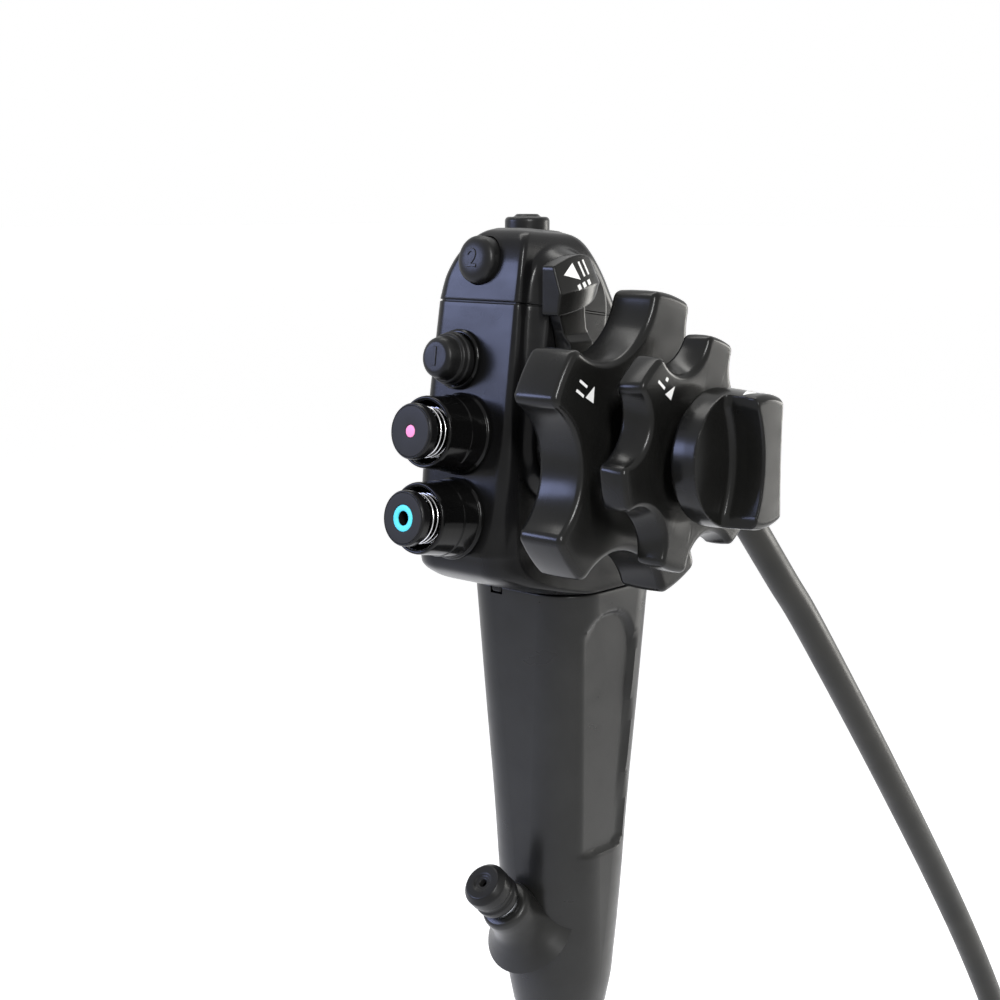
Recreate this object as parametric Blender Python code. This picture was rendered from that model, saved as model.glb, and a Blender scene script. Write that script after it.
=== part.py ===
"""Control section of a flexible endoscope, with its universal cord and connector.

Metres, +Z up. The origin is on the grip's axis, where the body meets the grip.
The valve face looks to -X, the angulation wheels stand on the -Y side, and the
universal cord leaves the back of the body to +X and hangs down.
"""

import math

import bmesh
import bpy
from mathutils import Euler, Vector

MM = 0.001
GAP = 0.3 * MM  # between pieces that touch
WALL = 2.5 * MM  # moulded shells
SIDES = 20  # round pieces that show

# Body: the valve face leans back, and the hood's seam is square to it
LEAN = math.radians(7.67)
FACE_X, FACE_Z = -35.55 * MM, 41.83 * MM  # suction valve's centre on the face
BODY_BACK = 20.0 * MM
BACK_SLOPE = math.radians(31)
BACK_SLOPE_Z = 48.0 * MM
HOOD_SEAM_Z = 68.85 * MM  # at SEAM_X
SEAM_X = -11.0 * MM
HOOD_HEIGHT = 18.45 * MM  # above the seam at SEAM_X
HOOD_TOP_Z = HOOD_SEAM_Z + HOOD_HEIGHT
HOOD_TOP_X = -15.0 * MM
HOOD_WALL = 2.2 * MM
SEAM_STEP = 0.05 * MM  # the raised lobe stops this far short of each shell's seam edge

# Grip: a rounded square that tapers to the insertion tube's coupling
GRIP_TOP_Z = 2.7 * MM
GRIP_CORNER = 10.3 * MM
GRIP_WALL = 3.0 * MM
GRIP_END_Z = -108.0 * MM
GRIP_END_HALF = 11.5 * MM
PANEL_X = (-12.0 * MM, 7.0 * MM)  # thumb panel
PANEL_TOP_Z = -2.5 * MM
PANEL_CORNER = 9.0 * MM
PANEL_DEPTH = 1.5 * MM
PANEL_LENGTH = 62.0 * MM
NOTCH_Y = (3.7 * MM, 7.5 * MM)
NOTCH_DEPTH = 1.9 * MM

# Valves, along the axis that stands square on the valve face
VALVE_SPACING = 19.34 * MM
COLLAR_FOOT_R = 9.41 * MM
COLLAR_RIM_R = 8.16 * MM
COLLAR_HEIGHT = 12.5 * MM
COLLAR_BORE_R = 7.0 * MM
COLLAR_FLOOR = 3.0 * MM
CYLINDER_R = 5.2 * MM
CYLINDER_BORE_R = 4.3 * MM
CYLINDER_DEPTH = 17.0 * MM
CAP_R = 6.29 * MM
CAP_TOP = 16.97 * MM
CAP_THICKNESS = 2.7 * MM
VALVE_TRAVEL = 4.0 * MM
PISTON_STEM_R = 2.6 * MM
PISTON_HEAD_R = CYLINDER_BORE_R - GAP
SPRING_R = 5.3 * MM
SPRING_WIRE_R = 0.5 * MM
SPRING_TURNS = 4.5
DOT_R = 1.4 * MM
RING_R, RING_HOLE_R = 3.0 * MM, 1.65 * MM
MARK_THICKNESS = 0.5 * MM

# Remote switches
SWITCH_TRAVEL = 1.0 * MM
SWITCH_1_ALONG, SWITCH_1_Y = 16.8 * MM, 3.0 * MM
SWITCH_1_RING_R = 6.9 * MM
SWITCH_1_HEIGHT = 8.1 * MM
SWITCH_1_R, SWITCH_1_STEM_R = 6.25 * MM, 5.4 * MM
SWITCH_INSIDE = -3.0 * MM  # buttons on the face reach this far into the body
SWITCH_BODY_DEPTH = 5.0 * MM
SWITCH_2_DROP = 6.323 * MM  # below the hood's top
SWITCH_2_ALONG = (HOOD_TOP_Z - SWITCH_2_DROP - FACE_Z) / math.cos(LEAN)
SWITCH_2_Y = -0.75 * MM
SWITCH_2_R, SWITCH_2_HEIGHT = 5.4 * MM, 2.8 * MM
SWITCH_3_X = -13.4 * MM
SWITCH_3_R = 5.2 * MM
SWITCH_3_RISE = 3.9 * MM  # above the hood's top
SWITCH_3_TOP_Z = HOOD_TOP_Z + SWITCH_3_RISE
SWITCH_3_LENGTH = 7.0 * MM
SWITCH_3_BODY = 7.4 * MM
BOARD_THICKNESS = 1.2 * MM
SWITCH_3_BODY_Z = SWITCH_3_TOP_Z - SWITCH_3_LENGTH - SWITCH_TRAVEL - GAP - SWITCH_3_BODY
BOARD_Z = SWITCH_3_BODY_Z - GAP - BOARD_THICKNESS
CHASSIS_TOP_Z = BOARD_Z - GAP - 0.1 * MM

# Knob axis, with its stack of distances out from the body's middle plane
KNOB_X, KNOB_Z = -19.1 * MM, 40.5 * MM
POST_R = 2.0 * MM
LR_SHAFT_R = 3.6 * MM
UD_SHAFT_R = 5.4 * MM
NECK_R = 8.0 * MM
CHASSIS_CLEAR, CHASSIS_THICKNESS = 0.4 * MM, 1.6 * MM  # beside the valve cylinders
LR_DRUM_WIDTH, UD_DRUM_WIDTH = 2.0 * MM, 2.2 * MM
CHASSIS_Y = (CYLINDER_R + CHASSIS_CLEAR, CYLINDER_R + CHASSIS_CLEAR + CHASSIS_THICKNESS)
LR_DRUM_Y = (CHASSIS_Y[1] + GAP, CHASSIS_Y[1] + GAP + LR_DRUM_WIDTH)
UD_DRUM_Y = (LR_DRUM_Y[1] + GAP, LR_DRUM_Y[1] + GAP + UD_DRUM_WIDTH)
DRUM_GROOVE_R = 6.8 * MM
DRUM_FLANGE_R = 8.3 * MM
DRUM_FLANGE = 0.5 * MM
WIRE_R = 0.4 * MM
NECK_CLEAR = 0.5 * MM  # between the drum and the neck that stands in the wall
BODY_HALF = UD_DRUM_Y[1] + NECK_CLEAR + WALL
SHOULDER = 3.0 * MM
GRIP_HALF = BODY_HALF + SHOULDER
BOSS_RISE = 2.5 * MM
BOSS_TOP = BODY_HALF + BOSS_RISE
LEVER_THICKNESS = 3.0 * MM
RETAINER_R, RETAINER_THICKNESS = 10.2 * MM, 1.0 * MM
UD_WHEEL_Y = (28.5 * MM, 40.0 * MM)
UD_WHEEL_R, UD_VALLEY_R = 33.0 * MM, 22.8 * MM
UD_LOBES, UD_LOBE_ANGLE = 5, math.radians(75.5)
UD_TIP_HALF = math.radians(10.5)
UD_HUB_R, UD_HUB_BACK = 13.5 * MM, 3.5 * MM  # the hub stands back from the rim
UD_WHEEL_EDGE, LR_WHEEL_EDGE = 2.2 * MM, 1.5 * MM  # rounding of the rims
LR_WHEEL_Y = (47.0 * MM, 53.8 * MM)
LR_WHEEL_R, LR_VALLEY_R = 25.4 * MM, 18.0 * MM
LR_LOBES, LR_LOBE_ANGLE = 6, math.radians(71.3)
LR_TIP_HALF = math.radians(9)
LR_HUB_R = 9.5 * MM
WHEEL_CLEARANCE = 1.0 * MM  # between the two wheels' hubs
UD_BRAKE_R, LR_BRAKE_R = 14.0 * MM, 11.5 * MM
NUT_R, NUT_THICKNESS = 4.0 * MM, 2.0 * MM
POST_END = 66.4 * MM
KNOB_DISC_Y = (58.2 * MM, 63.25 * MM)
KNOB_CAVITY_R, KNOB_CAVITY_DEPTH = 4.6 * MM, 2.8 * MM
KNOB_DISC_R = (15.2 * MM, 13.4 * MM)
FIN_TOP_Y = 71.7 * MM
FIN_HALF = 14.2 * MM
FIN_END_HALF, FIN_WAIST_HALF = 5.3 * MM, 3.3 * MM
LEVER_RING_R = 11.5 * MM
ARCH_RISE = 2.15 * MM  # the arch's middle above the seam
ARCH_X, ARCH_Z, ARCH_R = -16.0 * MM, HOOD_SEAM_Z + ARCH_RISE, 13.0 * MM
PAD_R = 13.0 * MM  # raised pad round the knob axis

# Pull wires
WIRE_PITCH_R = DRUM_GROOVE_R + WIRE_R + GAP
COUPLER_R, COUPLER_LENGTH = 1.0 * MM, 6.0 * MM
COUPLER_CLEAR = 6.5 * MM  # what the drum's flange needs above a coupler
WIRE_TAIL = 17.0 * MM  # inside the coil pipe
BLOCK_Z = (-10.0 * MM, -4.0 * MM)
BLOCK_INSET = 6.1 * MM  # inside the grip's outside
BLOCK_X = (BLOCK_INSET - GRIP_HALF, 2.0 * MM)
BLOCK_SIDE = GRIP_HALF - BLOCK_INSET - 0.1 * MM
FRONT_WIRE_AIM = 7.115 * MM  # where the front wires enter the block, inside the grip's outside
AIM_X, AIM_Z = FRONT_WIRE_AIM - GRIP_HALF - KNOB_X, KNOB_Z - BLOCK_Z[1]
FRONT_WIRE_TILT = math.atan2(AIM_X, AIM_Z) + math.asin(WIRE_PITCH_R / math.hypot(AIM_X, AIM_Z))
BACK_WIRE_TILT = math.radians(12)
PIPE_R = 1.1 * MM
PIPE_GAP = 0.9 * MM  # below the block, measured along the tilted wire
PIPE_LENGTH = 35.0 * MM
UD_RANGE = (math.radians(-60), math.radians(120))
LR_RANGE = (math.radians(-90), math.radians(90))

# Cord, gland and boot
CORD_R = 4.5 * MM
CORD_DIP = math.radians(28)
CORD_X, CORD_Z = BODY_BACK, 44.0 * MM
SNOUT_R, SNOUT_BORE_R, SNOUT_END = 10.5 * MM, 6.5 * MM, 7.0 * MM
GLAND_LENGTH = 4.0 * MM
BOOT_R, BOOT_END_R = 9.0 * MM, 5.8 * MM
BOOT_LENGTH = 38.0 * MM
COIL_R = 50.0 * MM  # middle of the turns
COIL_CENTRE = Vector((341.0, 0.0, -318.0)) * MM
COIL_ENTRY_RISE = 31.1 * MM  # straight cord above the coil's left side
CONNECTOR_DROP = 34.0 * MM  # from the coil's centre down to the connector's boot
TIE_HALF_WIDTH, TIE_THICKNESS = 4.0 * MM, 1.2 * MM
CONNECTOR_R = 16.0 * MM
CONNECTOR_BOOT_LENGTH = 30.0 * MM
SOCKET_R, SOCKET_DEPTH = 8.0 * MM, 9.0 * MM
CONNECTOR_LENGTH = 50.0 * MM
PRONG_R, PRONG_LENGTH = 4.5 * MM, 24.0 * MM

# Instrument channel port
PORT_X, PORT_Z = -13.0 * MM, -84.0 * MM
PORT_TILT = math.radians(45)
PORT_R, PORT_BORE_R = 3.4 * MM, 2.0 * MM
PORT_BOSS_R, PORT_BOSS_END = 6.5 * MM, 12.0 * MM
PORT_END = 20.0 * MM
PORT_VALVE_R = 5.6 * MM


def material(name, colour, roughness=0.45, metallic=0.0):
    """A Principled material, made once for each name."""
    found = bpy.data.materials.get(name)
    if found:
        return found
    made = bpy.data.materials.new(name)
    made.use_nodes = True
    shader = made.node_tree.nodes["Principled BSDF"]
    shader.inputs["Base Color"].default_value = (*colour, 1.0)
    shader.inputs["Roughness"].default_value = roughness
    shader.inputs["Metallic"].default_value = metallic
    return made


def black_plastic():
    return material("black_plastic", (0.018, 0.018, 0.02), 0.35)


def grip_plastic():
    return material("grip_plastic", (0.05, 0.05, 0.052), 0.42)


def gloss_black():
    return material("gloss_black", (0.01, 0.01, 0.011), 0.18)


def soft_rubber():
    return material("soft_rubber", (0.02, 0.02, 0.021), 0.6)


def steel():
    return material("steel", (0.62, 0.63, 0.64), 0.25, 1.0)


def brass():
    return material("brass", (0.72, 0.55, 0.28), 0.3, 1.0)


def friction_plastic():
    return material("friction_plastic", (0.55, 0.5, 0.4), 0.6)


def remove_all():
    """Starts from an empty scene."""
    for thing in list(bpy.data.objects):
        bpy.data.objects.remove(thing)


def frame(name, location, rotation=(0.0, 0.0, 0.0), parent=None):
    """An empty that carries the pieces of one axis."""
    empty = bpy.data.objects.new(name, None)
    empty.parent = parent
    empty.location = location
    empty.rotation_euler = Euler(rotation)
    bpy.context.collection.objects.link(empty)
    return empty


ORIGIN = (0.0, 0.0, 0.0)


def node(name, mesh_builder, look, parent=None, location=ORIGIN, rotation=ORIGIN):
    """One named object from a bmesh, shaded smooth up to 35 degrees."""
    mesh = bpy.data.meshes.new(name)
    bmesh.ops.recalc_face_normals(mesh_builder, faces=mesh_builder.faces)
    mesh_builder.to_mesh(mesh)
    mesh_builder.free()
    mesh.materials.append(look)
    mesh.shade_smooth()
    mesh.set_sharp_from_angle(angle=math.radians(35))
    made = bpy.data.objects.new(name, mesh)
    made.parent = parent
    made.location = location
    made.rotation_euler = Euler(rotation)
    bpy.context.collection.objects.link(made)
    return made


def combine(target, other, operation):
    """An exact Boolean that stays on the object; the other solid only guides it."""
    other.hide_render = True
    other.display_type = "WIRE"
    step = target.modifiers.new(other.name, "BOOLEAN")
    step.operation = operation
    step.solver = "EXACT"
    step.object = other


def loft(rings, closed=False):
    """A skin through rings of points, capped at its ends, or closed on itself as a tube."""
    builder = bmesh.new()
    rows = [[builder.verts.new(point) for point in ring] for ring in rings]
    pairs = list(zip(rows, rows[1:]))
    if closed:
        pairs.append((rows[-1], rows[0]))
    for lower, upper in pairs:
        count = len(lower)
        for index in range(count):
            after = (index + 1) % count
            builder.faces.new((lower[index], lower[after], upper[after], upper[index]))
    if not closed:
        builder.faces.new(rows[0])
        builder.faces.new(rows[-1])
    return builder


def circle(radius, z, sides=SIDES):
    """A ring of points round local Z."""
    turn = 2 * math.pi / sides
    return [(radius * math.cos(i * turn), radius * math.sin(i * turn), z) for i in range(sides)]


def turned(profile, sides=SIDES, closed=False):
    """A solid of revolution from (radius, z) pairs; a closed profile leaves a bore."""
    return loft([circle(radius, z, sides) for radius, z in profile], closed)


def tube_profile(inner, outer, low, high):
    """The four corners of a plain ring's section."""
    return [(inner, low), (outer, low), (outer, high), (inner, high)]


def plain_ring(inner, outer, low, high, sides=SIDES):
    """A washer or sleeve."""
    return turned(tube_profile(inner, outer, low, high), sides, closed=True)


def rounded(x0, x1, y0, y1, front, back, height, steps=4):
    """A rectangle with rounded corners; height(x) gives each point's Z."""
    limit = min(x1 - x0, y1 - y0) / 2 - 0.01 * MM
    front, back = min(front, limit), min(back, limit)
    corners = (
        (x0 + front, y0 + front, front, math.pi),
        (x1 - back, y0 + back, back, 1.5 * math.pi),
        (x1 - back, y1 - back, back, 0.0),
        (x0 + front, y1 - front, front, 0.5 * math.pi),
    )
    points = []
    for cx, cy, radius, start in corners:
        for i in range(steps + 1):
            angle = start + i * math.pi / 2 / steps
            x = cx + radius * math.cos(angle)
            points.append((x, cy + radius * math.sin(angle), height(x)))
    return points


def prism(outline, low, high):
    """An outline in local XY, extruded along local Z."""
    return loft([[(x, y, low) for x, y in outline], [(x, y, high) for x, y in outline]])


def box(x0, x1, y0, y1, z0, z1):
    """A plain block."""
    return prism([(x0, y0), (x1, y0), (x1, y1), (x0, y1)], z0, z1)


def drill(target, name, radius, low, high, parent, location=ORIGIN, rotation=ORIGIN, sides=SIDES):
    """A round hole along a frame's local Z."""
    solid = turned([(radius, low), (radius, high)], sides)
    combine(target, node(name, solid, steel(), parent, location, rotation), "DIFFERENCE")


def face_front(z_middle, tilt):
    """Where the valve face meets a section plane that tilts about x = 0."""
    slope = math.tan(LEAN)
    return (FACE_X + (z_middle - FACE_Z) * slope) / (1 + tilt * slope)


def back_edge(z):
    """The body's back, upright below and sloping forward above."""
    return BODY_BACK - max(0.0, z - BACK_SLOPE_Z) * math.tan(BACK_SLOPE)


SEAM_TILT = math.tan(LEAN)


def seam_height(x, offset=0.0):
    """The hood's seam plane, square to the valve face."""
    return HOOD_SEAM_Z + offset - SEAM_TILT * (x - SEAM_X)


def housing_ring(z, front, back, half, front_corner, back_corner, tilt=0.0, inset=0.0):
    """One section of the body; tilt lowers its back."""
    return rounded(
        front + inset,
        back - inset,
        -half + inset,
        half - inset,
        front_corner - inset,
        back_corner - inset,
        lambda x: z - tilt * x,
    )


def housing_stations():
    """Sections from the neck up to the seam: z, front, back, half, corners, tilt, inner lift."""
    neck = GRIP_TOP_Z + GAP
    top = seam_height(0.0)
    widths = [BODY_HALF + share * SHOULDER for share in (0.7333, 0.4667, 0.2)]
    shoulder = [
        (neck, -GRIP_HALF, GRIP_HALF, GRIP_HALF, GRIP_CORNER, GRIP_CORNER, 0.0, 0.0),
        (4.8 * MM, -25.5 * MM, 18.1 * MM, widths[0], 9.5 * MM, 10.0 * MM, 0.0, WALL),
        (7.4 * MM, -33.5 * MM, 18.4 * MM, widths[1], 9.0 * MM, 9.6 * MM, 0.0, WALL),
        (10.8 * MM, -38.2 * MM, 18.7 * MM, widths[2], 8.4 * MM, 9.2 * MM, 0.0, 0.6 * WALL),
    ]
    upper = []
    levels = ((15 * MM, 7.6 * MM, 0.0), (30 * MM, 5.4 * MM, 0.0), (48 * MM, 4.2 * MM, 0.5))
    for z, corner, share in levels:
        tilt = share * SEAM_TILT
        back = min(BODY_BACK, 19.0 * MM + z / 30)
        upper.append((z, face_front(z, tilt), back, BODY_HALF, corner, 9.0 * MM, tilt, 0.0))
    front, back = face_front(top, SEAM_TILT), back_edge(top - 1.2 * MM)
    seam = (top, front, back, BODY_HALF, 4.0 * MM, 8.0 * MM, SEAM_TILT, 0.0)
    return shoulder + upper + [seam]


def housing_shell():
    """The body's wall, open at the neck and at the seam."""
    outer, inner = [], []
    for z, front, back, half, front_corner, back_corner, tilt, lift in housing_stations():
        section = (front, back, half, front_corner, back_corner, tilt)
        outer.append(housing_ring(z, *section))
        inner.append(housing_ring(z + lift, *section, inset=WALL))
    return loft(outer + inner[::-1], closed=True)


def hood_stations():
    """Sections of the hood: z at HOOD_TOP_X, tilt, front inset, back, knob side, palm side, corner."""
    seam = seam_height(HOOD_TOP_X, GAP)
    drop = HOOD_TOP_Z - seam
    shares = (
        (0.00, 1.00, 0.0, back_edge(66.9 * MM), 15.0, 15.0, 4.0),
        (0.27, 0.98, 0.0, 5.0 * MM, 14.7, 14.2, 3.8),
        (0.50, 0.92, 0.0, 2.2 * MM, 14.4, 13.1, 3.6),
        (0.67, 0.85, 0.0, -0.2 * MM, 14.0, 11.5, 3.4),
        (0.80, 0.77, 0.1, -2.2 * MM, 13.5, 9.6, 3.3),
        (0.90, 0.65, 0.5, -4.0 * MM, 12.6, 7.6, 3.3),
        (0.965, 0.55, 1.6, -6.0 * MM, 11.4, 5.6, 3.2),
        (1.00, 0.52, 3.4, -8.2 * MM, 9.6, 3.6, 3.0),
    )
    return [
        (seam + share * drop, tilt * SEAM_TILT, front * MM, back, knob * MM, palm * MM, corner * MM)
        for share, tilt, front, back, knob, palm, corner in shares
    ]


def hood_ring(station, inset=0.0, lower=0.0):
    """One section of the hood."""
    z, tilt, front_inset, back, knob, palm, corner = station
    z -= lower
    level = z + tilt * HOOD_TOP_X
    front = face_front(level, tilt) + front_inset
    return rounded(
        front + inset,
        back - inset,
        -knob + inset,
        palm - inset,
        max(corner - inset, 1.5 * MM),
        max(corner + 3.0 * MM - inset, 2.0 * MM),
        lambda x: level - tilt * x,
    )


def hood_shell():
    """The hood's wall, open at the seam."""
    stations = hood_stations()
    outer = [hood_ring(station) for station in stations]
    inner = [hood_ring(stations[0], HOOD_WALL)]
    inner += [hood_ring(station, HOOD_WALL, HOOD_WALL) for station in stations[1:-1]]
    return loft(inner[::-1] + outer)


def arc_points(centre, radius, start, turn, steps):
    """Points of an arc in a plane."""
    angles = [start + turn * i / steps for i in range(steps + 1)]
    return [(centre[0] + radius * math.cos(a), centre[1] + radius * math.sin(a)) for a in angles]


def arch_outline(grow):
    """The raised arch behind the lock lever, above the seam; (x, z) pairs."""
    edge, radius = GAP + SEAM_STEP, ARCH_R + grow
    arc = arc_points((ARCH_X, ARCH_Z), radius, -math.radians(4), math.radians(188), 12)
    arc = [(x, z) for x, z in arc if z > seam_height(x, edge + 0.2 * MM)]
    return arc + [(x, seam_height(x, edge)) for x in (ARCH_X - radius, ARCH_X + radius)]


def pad_outline(grow):
    """The raised pad round the knob axis, up to the seam; (x, z) pairs."""
    left, right = ARCH_X - ARCH_R - grow, ARCH_X + ARCH_R + grow
    arc = arc_points((KNOB_X, KNOB_Z), PAD_R + grow, math.radians(168), math.radians(204), 14)
    return [(right, seam_height(right, -SEAM_STEP)), (left, seam_height(left, -SEAM_STEP))] + arc


def raised_lobe(outline):
    """A soft-edged pad on the wheel side, from its outline at each height."""
    rows = []
    for grow, drop in ((0.0, 4.1), (0.0, 1.3), (-0.35, 0.5), (-1.3, 0.0)):
        rows.append([(x, drop * MM - BOSS_TOP, z) for x, z in outline(grow * MM)])
    return loft(rows)


def build_housing(face, knobs, cord_frame):
    """The body's shell with its pad, snout and holes."""
    housing = node("control_housing", housing_shell(), black_plastic())
    combine(housing, node("add_pad", raised_lobe(pad_outline), black_plastic()), "UNION")
    key = box(
        0.05 * MM - GRIP_HALF,
        NOTCH_DEPTH - GAP - GRIP_HALF,
        NOTCH_Y[0] + GAP,
        NOTCH_Y[1] - GAP,
        GRIP_TOP_Z - NOTCH_DEPTH + GAP,
        GRIP_TOP_Z + 1.5 * MM,
    )
    combine(housing, node("add_key", key, black_plastic()), "UNION")
    snout = turned([(SNOUT_R, -3 * MM), (SNOUT_R, SNOUT_END - 1 * MM), (SNOUT_R - 1 * MM, SNOUT_END)])
    combine(housing, node("add_snout", snout, black_plastic(), cord_frame), "UNION")
    drill(housing, "cut_snout", SNOUT_BORE_R, -20 * MM, 20 * MM, cord_frame)
    for name, along in (("cut_suction", 0.0), ("cut_air_water", -VALVE_SPACING)):
        drill(housing, name, CYLINDER_R + GAP, -8 * MM, 8 * MM, face, (along, 0.0, 0.0))
    spot = (SWITCH_1_ALONG, SWITCH_1_Y, 0.0)
    drill(housing, "cut_switch_1", SWITCH_1_STEM_R + GAP, -8 * MM, 8 * MM, face, spot)
    drill(housing, "cut_neck", NECK_R + GAP, 8 * MM, 22 * MM, knobs)


def build_hood(face):
    """The cap over the switches, with its arch behind the lock lever."""
    hood = node("top_hood", hood_shell(), black_plastic())
    combine(hood, node("add_arch", raised_lobe(arch_outline), black_plastic()), "UNION")
    spot = (SWITCH_2_ALONG, SWITCH_2_Y, 0.0)
    drill(hood, "cut_switch_2", SWITCH_2_R + GAP, -6 * MM, 6 * MM, face, spot)
    low, spot = -SWITCH_3_RISE - 4 * HOOD_WALL, (SWITCH_3_X, 0.0, SWITCH_3_TOP_Z)
    drill(hood, "cut_switch_3", SWITCH_3_R + GAP, low, 5 * MM, None, spot)


def grip_half(z):
    """The grip's half width down its taper."""
    stops = (
        (GRIP_TOP_Z, GRIP_HALF),
        (-28.7 * MM, GRIP_HALF - 1.45 * MM),
        (-52.2 * MM, GRIP_HALF - 2.6 * MM),
        (-80 * MM, GRIP_HALF - 3.7 * MM),
        (-98 * MM, GRIP_HALF - 4.8 * MM),
        (GRIP_END_Z, GRIP_END_HALF),
    )
    for (z0, half0), (z1, half1) in zip(stops, stops[1:]):
        if z >= z1:
            return half0 + (half1 - half0) * (z0 - z) / (z0 - z1)
    return GRIP_END_HALF


def grip_ring(z, inset=0.0):
    """One section of the grip: a square whose corners grow rounder downward."""
    half = grip_half(z) - inset
    corner = min(GRIP_CORNER + (GRIP_TOP_Z - z) * 0.03, grip_half(z) * 0.97) - inset
    return rounded(-half, half, -half, half, corner, corner, lambda x: z)


def panel_cutter():
    """The thumb panel's recess: an arch-topped slab on the wheel side."""
    x0, x1 = PANEL_X
    bottom = PANEL_TOP_Z - PANEL_LENGTH
    outline = rounded(bottom, PANEL_TOP_Z, x0, x1, 4 * MM, PANEL_CORNER, lambda x: 0.0, 6)
    floor = (GRIP_HALF - PANEL_DEPTH, grip_half(bottom) - PANEL_DEPTH)
    clear = (GRIP_HALF + 4 * MM, GRIP_HALF + 4 * MM)
    rows = []
    for top, low in (floor, clear):
        row = []
        for z, x, _ in outline:
            share = (PANEL_TOP_Z - z) / PANEL_LENGTH
            row.append((x, -(top + (low - top) * share), z))
        rows.append(row)
    return loft(rows)


def build_grip(port):
    """The grip's shell with its thumb panel, key notch and port boss."""
    heights = [GRIP_TOP_Z, -14 * MM, -28.7 * MM, -52.2 * MM, -66 * MM, -80 * MM, -98 * MM, GRIP_END_Z]
    outer = [grip_ring(z) for z in heights]
    inner = [grip_ring(z, GRIP_WALL) for z in heights[::2] + heights[-1:]]
    grip = node("grip_shell", loft(outer + inner[::-1], closed=True), grip_plastic())
    combine(grip, node("cut_panel", panel_cutter(), grip_plastic()), "DIFFERENCE")
    front, floor = -GRIP_HALF + NOTCH_DEPTH, GRIP_TOP_Z - NOTCH_DEPTH
    notch = box(-GRIP_HALF - 2 * MM, front, *NOTCH_Y, floor, 6 * MM)
    combine(grip, node("cut_notch", notch, grip_plastic()), "DIFFERENCE")
    end = PORT_BOSS_END
    boss = turned([(PORT_BOSS_R, 1 * MM), (PORT_BOSS_R, end - 1 * MM), (PORT_BOSS_R - 1 * MM, end)])
    combine(grip, node("add_port_boss", boss, grip_plastic(), port), "UNION")
    drill(grip, "cut_port", PORT_R + GAP, -6 * MM, 20 * MM, port)


def build_port(port):
    """The instrument channel's metal port and the rubber valve on it."""
    tube = [
        (PORT_BORE_R, -3 * MM),
        (PORT_R, -3 * MM),
        (PORT_R, PORT_BOSS_END + GAP),
        (PORT_R + 1 * MM, PORT_BOSS_END + GAP),
        (PORT_R + 1 * MM, PORT_BOSS_END + 1.5 * MM),
        (PORT_R - 0.4 * MM, PORT_BOSS_END + 2 * MM),
        (PORT_R - 0.4 * MM, PORT_END - 1.5 * MM),
        (PORT_R, PORT_END - 1 * MM),
        (PORT_R, PORT_END),
        (PORT_BORE_R, PORT_END),
    ]
    node("channel_port", turned(tube, 14, closed=True), steel(), port)
    low = PORT_BOSS_END + 2.2 * MM
    cap = [
        (PORT_R + GAP, low),
        (PORT_VALVE_R - 0.4 * MM, low),
        (PORT_VALVE_R, low + 1 * MM),
        (PORT_VALVE_R, PORT_END + 1.5 * MM),
        (PORT_VALVE_R - 1.2 * MM, PORT_END + 3 * MM),
        (1.0 * MM, PORT_END + 3 * MM),
        (0.6 * MM, PORT_END + 1.2 * MM),
        (PORT_R + GAP, PORT_END + GAP),
    ]
    node("channel_port_valve", turned(cap, 14, closed=True), soft_rubber(), port)


def build_grip_end():
    """The coupling ring that an insertion tube screws into."""
    low = GRIP_END_Z - 9 * MM
    ring = [
        (6.5 * MM, low),
        (9.0 * MM, low),
        (9.8 * MM, low + 0.8 * MM),
        (9.8 * MM, low + 4 * MM),
        (GRIP_END_HALF - 0.5 * MM, low + 4.6 * MM),
        (GRIP_END_HALF - 0.5 * MM, GRIP_END_Z - GAP),
        (6.5 * MM, GRIP_END_Z - GAP),
    ]
    node("insertion_tube_coupling", turned(ring, closed=True), steel())


def build_chassis(knobs):
    """The inner plate on edge that carries the post, the cylinders and the switches."""
    low, high = CHASSIS_Y
    top = CHASSIS_TOP_Z / MM
    front = [(-12.4, -10), (-13.6, 4), (-22, 9), (-31, 13.5), (-28.2, 52), (-26.0, top - 7.6)]
    back = [(1.5, top - 11.6), (8, top - 19.6), (11, 44), (11, 12), (6, 2), (4, -10)]
    front, back = front + [(-25.5, top)], [(-6, top)] + back
    plate = loft([[(x * MM, -depth, z * MM) for x, z in front + back] for depth in (low, high)])
    chassis = node("chassis_plate", plate, steel())
    drill(chassis, "cut_post", POST_R + GAP, low - 2 * MM, high + 2 * MM, knobs, sides=16)
    board = box(-26 * MM, -4 * MM, -9 * MM, 8 * MM, BOARD_Z, BOARD_Z + BOARD_THICKNESS)
    node("circuit_board", board, material("circuit_green", (0.02, 0.16, 0.07), 0.5))


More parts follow.
